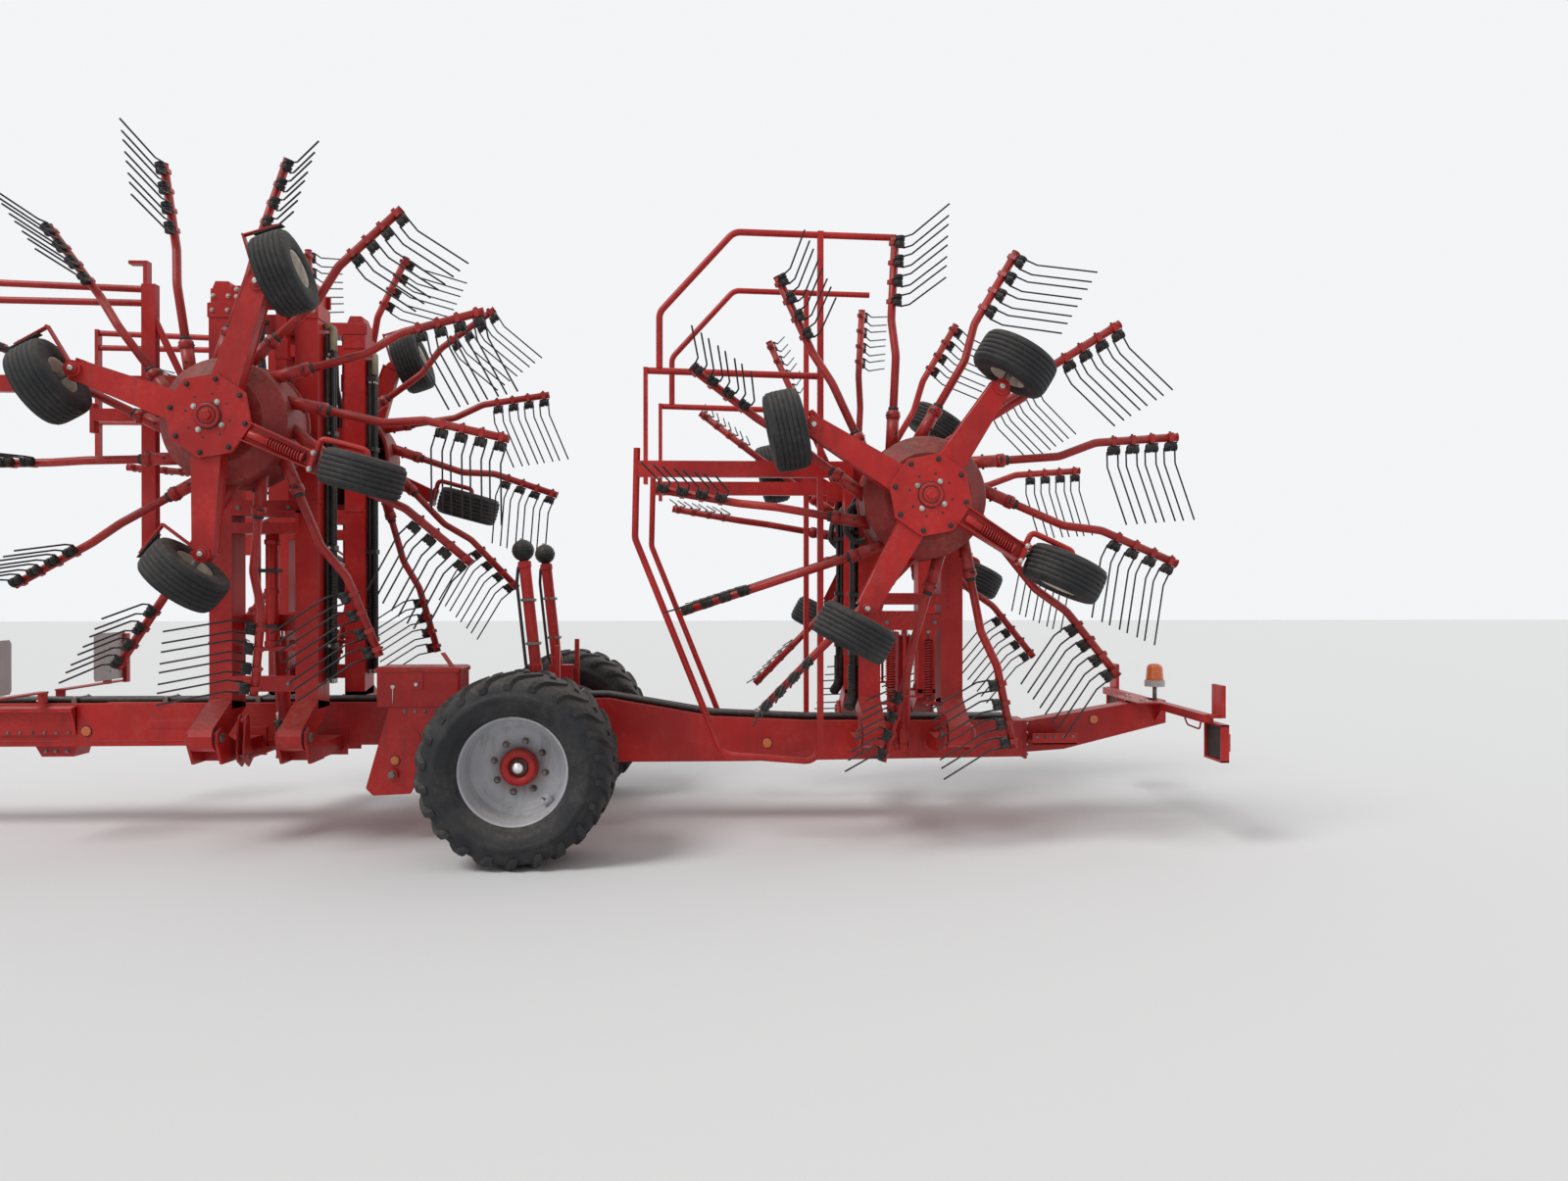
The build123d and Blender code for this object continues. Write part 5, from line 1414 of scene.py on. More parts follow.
def frontHoses(sizes, side):
    # Sleeves over the boom's hoses, pale hooked fittings at their top
    face = rotorAt[("front", side)].x - boom["columnStep"] - boom["half"] - sizes["gap"]
    hoses = Piece(f"boomHoses_{side}", hoseRubber)
    for out, y, higher in sizes["lanes"]:
        x, low, top = face - out, sizes["low"], sizes["top"] + higher
        hook = [(face, y, top)] if higher else []
        hoses.use(hoseRubber).tube([(x, y, low), (x, y, top), *hook], sizes["radius"], sides=12, bend=0.03)
        hoses.use(coilBlack)
        corrugated(hoses, [(x, y, z) for z in sizes["sleeve"]], 0.0155, pitch=0.020, sides=8)
        if higher:
            hoses.use(paleSleeve).tube([(x, y, 2.990), (x, y, top), (face - 0.006, y, top)], 0.0165,
                                       sides=12,
                                       bend=0.034)
        hoses.use(zincSteel)
        for z, length in ((2.930, 0.030), (low + 0.002, 0.026)):
            hoses.lathe([(0, 0.0155), (length, 0.0155)], (x, y, z), (0, 0, 1), 6)
    hoses.use(socketIron)
    for z in sizes["clips"]:
        hoses.block((face - 0.068, 0.380, z - 0.015), (face, 0.456, z + 0.015))
        hoses.bolts([(face - 0.034, 0.456, z)], (0, 1, 0), 0.6)
    return hoses


for end in ends:
    for side in sides:
        shape = boomShape(boom, end, side)
        if end == "rear":
            rearHoses(shape, rearHose, rotorAt[(end, side)].x)
        fitOut(shape, f"boom_{end}_{side}", "frame_red", f"boom_{end}_{side}")
for side in sides:
    fitOut(frontHoses(frontHose, side), f"boom_front_{side}", "hose", f"boom_hoses_front_{side}", bevel=0)
print("booms made")
# Telescopes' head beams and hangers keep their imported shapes, with plates, bolts and hoses added
telescope = {
    "headZ": 3.250,
    "headHeight": 0.085,
    "hangerStep": 0.130,
    "hangerFace": 0.615,
    "hangerY": 0.590,
    "hose": [(-0.030, 0.640, 3.200), (-0.030, 0.660, 2.950), (-0.060, 0.690, 2.760), (-0.060, 0.700, 2.635)],
}


def telescopeTrim(sizes, side):
    x, low, high = rotorAt[("front", side)].x, sizes["headZ"], sizes["headZ"] + sizes["headHeight"]
    trim = Piece(f"telescopeTrim_{side}", redPaint)
    for way in (-1, 1):
        middle, hanger = x + way * boom["columnStep"], x + way * sizes["hangerStep"]
        trim.block((middle - 0.082, 0.352, low + 0.004), (middle + 0.082, 0.366, high - 0.004))
        trim.slab([(-0.060, 0), (0.060, 0), (0.040, 0.050), (-0.040, 0.050)], (middle, 0.450, high),
                  (1, 0, 0),
                  (0, 0, 1), 0.150)
        trim.bolts([(middle + across, 0.540, low + 0.042) for across in (-0.045, 0.045)], (0, 1, 0), 0.9)
        trim.bolts([(hanger, sizes["hangerFace"], low + z) for z in (0.020, 0.064)], (0, 1, 0), 0.9)
        trim.bar((hanger, sizes["hangerY"], 3.020), (hanger, sizes["hangerY"], 2.900), 0.075, 0.058,
                 (1, 0, 0))
    # ribbed hose from the head down to the gearbox, with its clip
    trim.use(coilBlack)
    corrugated(trim, [(x + ahead, y, z) for ahead, y, z in sizes["hose"]], 0.022, bend=0.10, pitch=0.018)
    trim.use(socketIron).block((x - 0.062, 0.612, 3.100), (x + 0.002, 0.666, 3.125))
    return trim


for side in sides:
    fitOut(telescopeTrim(telescope, side), f"telescope_{side}", "frame_red")
print("telescope trim made")
# Chassis beam with its boom mounts, latches, side shelves and reflectors
chassis = {
    "half": 0.130,
    "noseX": 4.290,
    "tailX": axle.x - 3.096,
    "frontTop": 0.800,
    "frontLow": 0.530,
    "dipLow": 0.410,
    "humpTop": 0.820,
    "rearTop": 0.670,
    "mountEndY": 0.600,
    "mountLow": 0.500,
    "mountTop": 0.600,
    "mountHalf": 0.0905,
    "columnStep": 0.255,
    "cheek": 0.018,
    "pivot": (0.755, 0.660),
    "pivotRadius": 0.028,
    "basePin": (0.215, 0.520),
    "cheekUnder": {"front": [(0.735, 0.500)], "rear": [(0.585, 0.500), (0.606, 0.545), (0.740, 0.560)]},
    "shelf": (axle.x + 2.960, axle.x + 3.740),
    "shelfPitch": 0.075,
    "slotAt": (axle.x + 2.360, 0.670),
    "slotLong": 0.130,
    "slotHigh": 0.032,
    "bracketX": axle.x + 3.110,
    "reflectors": [(axle.x + 2.899, 0.626), (axle.x - 1.415, 0.528)],
    "latchHook": [(0.480, 0.520), (0.560, 0.460), (0.625, 0.500), (0.640, 0.560), (0.610, 0.760),
                  (0.580, 0.780),
                  (0.555, 0.755), (0.550, 0.600)],
}


def beamOutline(sizes):
    # The top from nose to tail, then back along the underside
    ahead, nose, tail = axle.x, sizes["noseX"], sizes["tailX"]
    return [
        (nose, sizes["frontTop"]), (ahead + 0.720, sizes["frontTop"]), (ahead + 0.470, sizes["humpTop"]),
        (ahead - 0.390, sizes["humpTop"]), (ahead - 1.064, sizes["rearTop"] + 0.030),
        (ahead - 1.685, sizes["rearTop"]), (tail, sizes["rearTop"] - 0.005), (tail, sizes["dipLow"] + 0.020),
        (ahead - 1.250, sizes["dipLow"]), (ahead + 0.650, sizes["dipLow"]),
        (ahead + 1.000, sizes["frontLow"]),
        (nose, sizes["frontLow"]),
    ]


def reflector(shape, x, y, z, radius, depth=0.003):
    # Amber lens on its dark base, facing left
    shape.use(socketIron).rod((x, y, z), (x, y + depth, z), radius + 0.005, sides=24)
    shape.use(amberLens).lathe([(0, radius), (0.005, radius), (0.008, radius - 0.007)],
                               (x, y + depth - 0.001, z),
                               (0, 1, 0), 24)
    shape.use(redPaint)


def boomMount(shape, sizes, end):
    # Stub, cheeks with their pivot and weld plate under each column, and the fold cylinder's lugs
    x = rotorAt[(end, "left")].x
    wide, cheek, half = pick(sizes, "half", "cheek", "mountHalf")
    endY, low, top = pick(sizes, "mountEndY", "mountLow", "mountTop")
    pivotY, pivotZ = sizes["pivot"]
    outline = [(endY - 0.090, low), *sizes["cheekUnder"][end], (pivotY + 0.052, pivotZ - 0.030),
               (pivotY + 0.052, pivotZ + 0.034), (pivotY - 0.006, pivotZ + 0.058),
               (pivotY - 0.060, pivotZ + 0.020), (endY - 0.090, top)]
    for column in (x - sizes["columnStep"], x + sizes["columnStep"]):
        inner = half - cheek / 2
        shape.use(redPaint).block((column - inner, wide - 0.002, low + 0.002),
                                  (column + inner, endY, top - 0.002))
        shape.block((column - half - 0.020, wide, low - 0.030),
                    (column + half + 0.020, wide + 0.008, top + 0.050))
        for face in (-1, 1):
            shape.use(redPaint).crossPlate(outline, column + face * inner, cheek)
            wear = column + face * (half + 0.004)
            shape.bar((wear, pivotY - 0.060, pivotZ - 0.004), (wear, pivotY - 0.010, pivotZ), 0.030, 0.008,
                      (0, 0, 1))
            shape.use(oldSteel).lathe([(0, sizes["pivotRadius"]), (0.010, sizes["pivotRadius"]),
                                       (0.012, 0.024)],
                                      (column + face * half, pivotY, pivotZ), (face, 0, 0), 20)
        shape.rod((column - half, pivotY, pivotZ), (column + half, pivotY, pivotZ), sizes["pivotRadius"],
                  sides=20)
    y, z = sizes["basePin"]
    lug = [(wide - 0.010, z + 0.080), (wide + 0.045, z + 0.080), (y + 0.036, z + 0.010),
           (y + 0.024, z - 0.034),
           (y - 0.030, z - 0.034), (wide - 0.010, z + 0.020)]
    shape.rod((x - 0.052, y, z), (x + 0.052, y, z), 0.016)
    shape.use(redPaint)
    for face in (-1, 1):
        shape.crossPlate(lug, x + face * 0.038, 0.016)


def sideShelf(shape, sizes):
    # Pressed plate on the beam's side, with a folded top lip, end gussets and a row of bolts
    face = sizes["half"]
    low, high = sizes["shelf"]
    shape.block((low, face, 0.602), (high, face + 0.014, 0.776))
    shape.crossPlate([(face, 0.790), (face + 0.062, 0.778), (face + 0.062, 0.752), (face + 0.054, 0.752),
                      (face + 0.054, 0.770), (face, 0.780)], (low + high) / 2, high - low)
    for x in (low + 0.005, high - 0.005):
        shape.crossPlate([(face, 0.606), (face + 0.058, 0.756), (face + 0.058, 0.774), (face, 0.782)], x,
                         0.010)
    count = int((high - low) / sizes["shelfPitch"])
    shape.bolts([(low + 0.040 + sizes["shelfPitch"] * number, face + 0.014, 0.620)
                 for number in range(count)],
                (0, 1, 0), 0.7, oldSteel)


def transportLatch(shape, sizes):
    # Hook plates between the front feet, with their pins and a small black cylinder
    x = rotorAt[("front", "left")].x
    for offset in (0.086, 0.126):
        shape.crossPlate(sizes["latchHook"], x + offset, 0.012)
    for near in (-0.150, 0.074):
        shape.block((x + near, 0.125, 0.508), (x + near + 0.076, 0.560, 0.530))
    shape.rod((x + 0.074, 0.590, 0.740), (x + 0.138, 0.590, 0.740), 0.017)
    shape.use(oldSteel).rod((x + 0.070, 0.600, 0.530), (x + 0.142, 0.600, 0.530), 0.012, sides=14)
    shape.use(coilBlack).rod((x - 0.120, 0.540, 0.500), (x - 0.100, 0.590, 0.740), 0.024, sides=20)
    shape.use(zincSteel).rod((x - 0.100, 0.590, 0.740), (x - 0.098, 0.596, 0.790), 0.009, sides=12)


def beamShape(sizes):
    shape = Piece("chassisBeam", redPaint)
    half, nose, bracket = pick(sizes, "half", "noseX", "bracketX")
    y = half + 0.0005
    # folded seams and the long slot pressed in the beam's side
    shape.bar((sizes["tailX"] + 0.05, y, 0.640), (axle.x - 1.685, y, 0.640), 0.006, 0.005, (0, 0, 1))
    shape.bar((axle.x + 0.950, y, 0.562), (nose - 0.05, y, 0.562), 0.006, 0.005, (0, 0, 1))
    slotX, slotZ = sizes["slotAt"]
    slot = [(way * sizes["slotLong"] + sizes["slotHigh"] * math.cos(turn),
             sizes["slotHigh"] * math.sin(turn))
            for way in (1, -1) for turn in (math.radians(22.5 * step - 90 * way) for step in range(9))]
    shape.slab(slot, (slotX, y, slotZ), (1, 0, 0), (0, 0, 1), 0.006)
    shape.slab([(x * 0.93, z * 0.62) for x, z in slot], (slotX, y + 0.001, slotZ), (1, 0, 0), (0, 0, 1),
               0.008)
    for x, z in sizes["reflectors"]:
        reflector(shape, x, y, z, 0.031)
    sideShelf(shape, sizes)
    for end in ends:
        boomMount(shape, sizes, end)
    transportLatch(shape, sizes)
    shape.mirror()
    # the beam itself, the doubler on its top and the bracket under its front
    shape.use(redPaint).sidePlate(beamOutline(sizes), -half, half)
    shape.block((axle.x + 2.346, -0.128, sizes["frontTop"] - 0.004),
                (axle.x + 2.778, 0.128, sizes["frontTop"] + 0.006))
    shape.slab([(-0.130, 0), (0.130, 0), (0.090, -0.070), (-0.110, -0.070)], (bracket, 0, sizes["frontLow"]),
               (1, 0, 0), (0, 0, 1), 0.180)
    shape.bolts([(bracket + x, 0.090, sizes["frontLow"] - 0.035) for x in (-0.070, 0, 0.060)], (0, 1, 0),
                0.9, oldSteel)
    return shape


# Headstock: tapered nose on its flange, link bar with its pins, drive shaft's stub and guard
headstock = {
    "nose": chassis["noseX"] + 0.0003,
    "head": 5.050,
    "linkBack": 0.060,
    "linkZ": 0.610,
    "flange": 0.028,
    "halfFlange": 0.170,
    "halfLink": 0.350,
    "halfNose": 0.090,
    "shaftZ": 0.760,
    "pinRadius": 0.0183,
}


def headstockShape(sizes):
    shape = Piece("headstockDressed", redPaint)
    nose, head, linkZ, shaftZ = pick(sizes, "nose", "head", "linkZ", "shaftZ")
    link, face = head - sizes["linkBack"], nose + sizes["flange"]
    halfNose, halfFlange, halfLink, pin = pick(sizes, "halfNose", "halfFlange", "halfLink", "pinRadius")
    shape.flatPlate([(face, halfNose), (face, halfFlange), (link - 0.040, halfLink),
                     (link - 0.040, halfNose)],
                    linkZ - 0.045, linkZ - 0.021)
    shape.lathe([(halfLink - 0.004, 0.034), (halfLink + 0.006, 0.034)], (link, 0, linkZ), (0, 1, 0), 24)
    shape.bolts([(face, 0.135, z) for z in (0.545, 0.620, 0.700, 0.780)], (1, 0, 0), 1.1)
    shape.use(oldSteel).lathe([(halfLink, pin), (0.466, pin), (0.480, 0.0120)], (link, 0, linkZ), (0, 1, 0),
                              24)
    shape.mirror()
    shape.use(redPaint).sidePlate([
        (nose, 0.540), (nose, 0.790), (nose + 0.330, 0.790), (head - 0.130, linkZ + 0.110),
        (head, linkZ + 0.045),
        (head, linkZ - 0.045), (head - 0.130, linkZ - 0.070),
    ], -halfNose, halfNose)
    shape.block((nose, -halfFlange, 0.515), (face, halfFlange, 0.815))
    shape.block((link - 0.055, -halfLink, linkZ - 0.055), (link + 0.055, halfLink, linkZ + 0.055))
    shape.rod((head - 0.310, 0, shaftZ), (head - 0.110, 0, shaftZ), 0.052, sides=28)
    shape.use(oldSteel).lathe([(0, 0.0175), (0.040, 0.0175), (0.044, 0.0150), (0.050, 0.0150),
                               (0.054, 0.0175),
                               (0.140, 0.0175), (0.150, 0.0140)], (head - 0.170, 0, shaftZ), (1, 0, 0), 12)
    shape.use(socketIron).lathe([(0, 0.078), (0.004, 0.080), (0.090, 0.086), (0.090, 0.080), (0.006, 0.072)],
                                (head - 0.150, 0, shaftZ), (1, 0, 0), 28, smooth=True, ring=True)
    return shape


# Parking stand: foot plate with ribs, square leg with its pin holes, clamp and crank
stand = {
    "x": headstock["head"] - 0.980,
    "y": 0.200,
    "halfLeg": 0.040,
    "legTop": 0.928,
    "pinZ": 0.640,
    "firstHole": 0.130,
    "holePitch": 0.070,
    "crankZ": 0.985,
}


def standShape(sizes):
    shape = Piece("standDressed", standPaint)
    x, y, half, pinZ, crankZ = pick(sizes, "x", "y", "halfLeg", "pinZ", "crankZ")
    shape.lathe([(0, 0.126), (0.004, 0.130), (0.012, 0.130), (0.016, 0.124)], (x, y, 0), (0, 0, 1), 36)
    shape.lathe([(0.915, 0.036), (0.925, 0.026), (1.006, 0.026), (1.010, 0.020)], (x, y, 0), (0, 0, 1), 24)
    shape.block((x - half, y - half, 0.012), (x + half, y + half, sizes["legTop"]))
    shape.block((x - 0.057, chassis["half"] + 0.0003, 0.562), (x + 0.057, 0.257, 0.758))
    for turn in (math.radians(120 * step + 30) for step in range(3)):
        shape.bar((x, y, 0.050), (x + 0.110 * math.cos(turn), y + 0.110 * math.sin(turn), 0.018), 0.010,
                  0.040, (0, 0, 1))
    shape.use(socketIron)
    for z in (sizes["firstHole"] + sizes["holePitch"] * number for number in range(5)):
        shape.rod((x, y + half + 0.0002, z), (x, y + half + 0.0012, z), 0.011)
    shape.rod((x, y + 0.135, crankZ), (x, y + 0.135, crankZ + 0.060), 0.013, sides=14)
    shape.use(zincSteel).rod((x, y - 0.005, crankZ), (x, y + 0.145, crankZ), 0.009, sides=12)
    shape.rod((x - 0.075, y, pinZ), (x + 0.075, y, pinZ), 0.011, sides=14)
    shape.tube([(x + 0.070, y, pinZ), (x + 0.078, y + 0.030, pinZ - 0.010),
                (x + 0.078, y + 0.034, pinZ - 0.050)],
               0.003, sides=6, bend=0.01)
    return shape


# Carriage: axle tubes with their flanges and spindles, and the side plates ahead of the wheels
carriage = {
    "tubeHalf": 0.085,
    "inner": 0.1304,
    "flangeY": 0.160,
    "tubeEnd": 0.700,
    "spindleEnd": 0.980,
    "spindleRadius": 0.048,
    "hubBolts": 0.092,
    "plateY": (0.598, 0.622),
    "plate": [(0.440, 0.822), (0.860, 0.822), (1.000, 0.330), (0.960, 0.290), (0.740, 0.300), (0.600, 0.560),
              (0.440, 0.640)],
    "lipTurn": (1, 0, 0.28),
    "bossAt": (0.840, 0.420),
    "reflectorAt": (0.829, 0.500),
}


def carriageShape(sizes):
    shape = Piece("carriageDressed", redPaint)
    x, z = axle.x, axle.z
    tube, inner, flange, end, (plateIn, plateOut) = pick(sizes, "tubeHalf", "inner", "flangeY", "tubeEnd",
                                                         "plateY")
    middle = (plateIn + plateOut) / 2
    shape.block((x - tube, inner + 0.0001, z - tube), (x + tube, end, z + tube))
    shape.block((x - 0.200, inner, z - 0.100), (x + 0.200, flange, z + 0.100))
    shape.bolts([(x + across, flange, z + up) for across in (-0.160, 0.160) for up in (-0.070, 0.070)],
                (0, 1, 0), 1.1)
    shape.lathe([(end - 0.006, 0.100), (end, 0.110), (0.730, 0.110), (0.735, 0.104)], (x, 0, z), (0, 1, 0),
                36)
    shape.bolts([(x + sizes["hubBolts"] * math.cos(turn), 0.735, z + sizes["hubBolts"] * math.sin(turn))
                 for turn in (math.radians(30 + 60 * number) for number in range(6))], (0, 1, 0), 0.8,
                 oldSteel)
    shape.sidePlate([(x + ahead, up) for ahead, up in sizes["plate"]], plateIn, plateOut)
    # folded lip down the plate's front edge, the stiffening rib and the cross tube
    shape.bar((x + 0.862, plateIn - 0.008, 0.812), (x + 0.998, plateIn - 0.008, 0.334), 0.012, 0.060,
              sizes["lipTurn"])
    shape.block((x + 0.050, middle - 0.045, z + 0.005), (x + 0.610, middle + 0.045, z + 0.115))
    shape.block((x + 0.620, inner, 0.580), (x + 0.780, middle, 0.700))
    shape.lathe([(0, 0.085), (0.003, 0.083)], (x + 0.760, plateOut, 0.620), (0, 1, 0), 32)
    shape.bolts([(x + 0.470 + 0.060 * number, plateOut, 0.795) for number in range(6)], (0, 1, 0), 0.7,
                oldSteel)
    boss, bossZ = x + sizes["bossAt"][0], sizes["bossAt"][1]
    shape.rod((boss, middle - 0.045, bossZ), (boss, middle + 0.045, bossZ), 0.034, sides=28)
    shape.use(oldSteel).lathe([(0, 0.024), (0.010, 0.024), (0.013, 0.019)], (boss, middle + 0.045, bossZ),
                              (0, 1, 0), 6)
    shape.rod((x, end, z), (x, sizes["spindleEnd"], z), sizes["spindleRadius"], sides=28)
    reflector(shape, x + sizes["reflectorAt"][0], plateOut, sizes["reflectorAt"][1], 0.027)
    shape.mirror()
    return shape


# Tail frame: flange, tapered beam, cross-bar with the lamps' plates, side trays and the beacon's plate
tailFrame = {
    "end": -5.050,
    "flange": chassis["tailX"] - 0.0003,
    "thick": 0.020,
    "half": 0.075,
    "barBack": 0.110,
    "barZ": 0.765,
    "halfBar": 0.950,
    "trayLength": 0.290,
    "lampY": 0.950,
    "reflectorAt": (-4.525, 0.664),
}


def tailShape(sizes):
    shape = Piece("tailDressed", redPaint)
    tail, flange, half, barZ = pick(sizes, "end", "flange", "half", "barZ")
    bar, face, lampY = tail + sizes["barBack"], flange - sizes["thick"], sizes["lampY"]
    last = chassis["tailX"] - 0.024
    first = last - sizes["trayLength"]
    shape.bolts([(face, 0.105, z) for z in (0.440, 0.510, 0.580, 0.640)], (-1, 0, 0), 0.9)
    shape.block((first, 0.070, 0.524), (last, 0.260, 0.536))
    shape.block((first, 0.248, 0.524), (last, 0.260, 0.596))
    shape.bolts([(first + 0.030 + 0.058 * number, 0.260, 0.575) for number in range(5)], (0, 1, 0), 0.7,
                oldSteel)
    shape.block((tail + 0.038, lampY - 0.075, 0.775), (tail + 0.062, lampY + 0.075, 0.965))
    shape.block((tail + 0.038, lampY - 0.030, 0.770), (bar + 0.002, lampY + 0.030, 0.790))
    reflector(shape, sizes["reflectorAt"][0], half, sizes["reflectorAt"][1], 0.029, 0.004)
    # gusset under the cross-bar and the cable's loop
    shape.crossPlate([(half - 0.001, barZ - 0.024), (half + 0.129, barZ - 0.024),
                      (half - 0.001, barZ - 0.114)],
                     bar, 0.012)
    shape.tube([(bar, 0.560, barZ - 0.010), (bar - 0.010, 0.600, barZ - 0.075),
                (bar - 0.010, 0.790, barZ - 0.080),
                (bar - 0.005, 0.830, barZ - 0.015)], 0.006, sides=8, bend=0.04)
    shape.mirror()
    shape.sidePlate([(flange, 0.650), (bar + 0.060, 0.790), (tail + 0.040, 0.790), (tail + 0.040, 0.640),
                     (chassis["tailX"] - 0.280, 0.470), (flange, 0.450)], -half, half)
    shape.block((face, -chassis["half"], 0.415), (flange, chassis["half"], 0.665))
    shape.block((bar - 0.030, -sizes["halfBar"], barZ - 0.025),
                (bar + 0.030, sizes["halfBar"], barZ + 0.025))
    shape.block((bar + 0.030, -0.260, barZ + 0.018), (bar + 0.180, 0.260, barZ + 0.026))
    shape.bolts([(bar + 0.105, y, barZ + 0.026) for y in (-0.200, -0.110, 0.110, 0.200)], (0, 0, 1), 0.9)
    return shape


# Tail lamps in folded frames
lamp = {
    "x": tailFrame["end"] + 0.055,
    "low": 0.5197,
    "middle": 0.930,
    "half": 0.125,
    "high": 0.220,
    "fold": 0.012,
}


def lampsShape(sizes):
    shape = Piece("tailLamps", redPaint)
    x, low, half, high, fold = pick(sizes, "x", "low", "half", "high", "fold")
    for middle in (-sizes["middle"], sizes["middle"]):
        shape.use(redPaint)
        for first, last, bottom, top in ((-half, fold - half, 0, high), (half - fold, half, 0, high),
                                         (-half, half, 0, fold), (-half, half, high - fold, high)):
            shape.block((x - 0.025, middle + first, low + bottom), (x + 0.025, middle + last, low + top))
        for material, front, back, first, last, edge in (
                (socketIron, 0.004, 0.010, fold - half, half - fold, fold),
                (socketIron, 0.034, -0.003, -0.090, 0.090, 0.052),
                (redLens, 0.050, -0.033, -0.084, 0.020, 0.058),
                (amberLens, 0.050, -0.033, 0.024, 0.084, 0.058)):
            shape.use(material).block((x - front, middle + first, low + edge),
                                      (x + back, middle + last, low + high - edge))
    return shape


# Beacon: post, grey foot and ribbed amber dome
beacon = {
    "x": tailFrame["end"] + 0.110,
    "y": 0.060,
    "base": 0.790,
    "ribs": 8,
    "ribPitch": 0.008,
}


def beaconShape(sizes):
    shape = Piece("beaconDressed", oldSteel)
    x, y, base = pick(sizes, "x", "y", "base")
    shape.rod((x, y, base + 0.0003), (x, y, base + 0.092), 0.014)
    shape.use(boardPaint).lathe([(0.089, 0.040), (0.091, 0.066), (0.130, 0.066), (0.133, 0.060)],
                                (x, y, base),
                                (0, 0, 1), 36)
    profile = [(0.132, 0.058), (0.150, 0.058)]
    for number in range(sizes["ribs"]):
        z = 0.150 + sizes["ribPitch"] * number
        profile += [(z + 0.002, 0.0560 - 0.0006 * number), (z + 0.006, 0.0572 - 0.0006 * number)]
    profile += [(0.222, 0.050), (0.236, 0.040), (0.243, 0.020)]
    shape.use(amberLens).lathe(profile, (x, y, base), (0, 0, 1), 36, smooth=True)
    return shape


# Front warning boards on their cranked posts
board = {
    "x": axle.x + 3.166,
    "low": 0.890,
    "middle": 0.670,
    "half": 0.210,
    "high": 0.330,
    "corner": 0.020,
    "postY": 0.853,
}


def boardsShape(sizes):
    shape = Piece("frontBoards", boardPaint)
    x, low, middle, half, high, corner = pick(sizes, "x", "low", "middle", "half", "high", "corner")
    cut = half - corner
    shape.crossPlate([
        (middle + across, low + up) for across, up in (
            (-half, corner), (-cut, 0), (cut, 0), (half, corner), (half, high - corner), (cut, high),
            (-cut, high),
            (-half, high - corner))
    ], x, 0.006)
    shape.use(redPaint).block((x + 0.003, middle - 0.025, low - 0.030),
                              (x + 0.039, middle + 0.025, low + 0.260))
    shape.block((x - 0.033, sizes["postY"] - 0.024, low - 0.030),
                (x - 0.003, sizes["postY"] + 0.024, low + 0.318))
    shape.block((x - 0.009, 0.085, low - 0.026), (x + 0.051, sizes["postY"] + 0.024, low - 0.014))
    shape.block((x - 0.009, 0.094, 0.8003), (x + 0.051, 0.106, low - 0.014))
    shape.bolts([(x - 0.003, middle, low + z) for z in (0.060, 0.220)], (-1, 0, 0), 0.6)
    shape.bolts([(x + 0.051, 0.100, 0.815)], (1, 0, 0), 0.5)
    shape.mirror()
    return shape


# Tool box with a domed lid, its strap, latch and hinges
toolbox = {
    "x": axle.x + 0.690,
    "y": 0.505,
    "low": 0.8223,
    "straight": (0.228, 0.103),
    "corner": 0.022,
    "high": 0.214,
    # the lid's rows: height, then its share of the lid's own outline along and across
    "lid": [(0.207, 1, 1), (0.229, 1, 1), (0.233, 0.985, 0.97), (0.239, 0.93, 0.88)],
    "lidOver": (1.032, 1.064),
}


def toolboxShape(sizes):
    shape = Piece("toolboxDressed", redPaint)
    x, y, low, corner, (halfX, halfY) = pick(sizes, "x", "y", "low", "corner", "straight")
    rounded = [
        (wayX * halfX + corner * math.cos(turn), wayY * halfY + corner * math.sin(turn))
        for wayX, wayY, first in ((1, 1, 0), (-1, 1, 90), (-1, -1, 180), (1, -1, 270))
        for turn in (math.radians(first + 22.5 * step) for step in range(5))
    ]
    shape.flatPlate([(x + across, y + aside) for across, aside in rounded], low, low + sizes["high"])
    overX, overY = sizes["lidOver"]
    shape.loops([[(x + across * overX * shareX, y + aside * overY * shareY, low + up)
                  for across, aside in rounded]
                 for up, shareX, shareY in sizes["lid"]])
    shape.block((x - 0.030, y + 0.124, low + 0.105), (x + 0.050, y + 0.130, low + 0.225))
    shape.block((x - 0.030, y + 0.124, low + 0.217), (x + 0.050, y + 0.143, low + 0.225))
    shape.bar((x - 0.130, y + 0.060, low + 0.320), (x - 0.232, y + 0.124, low + 0.196), 0.034, 0.006,
              (1, 0, 0.8))
    keyX, keyY = x + 0.150, y + 0.127
    shape.use(zincSteel).tube([(keyX, keyY, low + 0.020), (keyX, keyY, low + 0.110)], 0.004, sides=8)
    shape.lathe([(-0.004, 0.013), (0.004, 0.013)], (keyX, keyY, low + 0.120), (0, 1, 0), 16)
    shape.rod((x + 0.010, y + 0.130, low + 0.135), (x + 0.010, y + 0.142, low + 0.135), 0.012, sides=14)
    for hinge in (x - 0.170, x + 0.180):
        shape.rod((hinge - 0.030, y - 0.128, low + 0.218), (hinge + 0.030, y - 0.128, low + 0.218), 0.007,
                  sides=10)
    return shape


# Accumulators on their brackets: leaning cylinder, black ball, clipped hose and the post beside
accumulator = {
    "y": 0.420,
    "foot": (0.020, 1.000),
    "ball": (0.104, 1.766),
    "ballRadius": 0.068,
    "postY": 0.450,
}


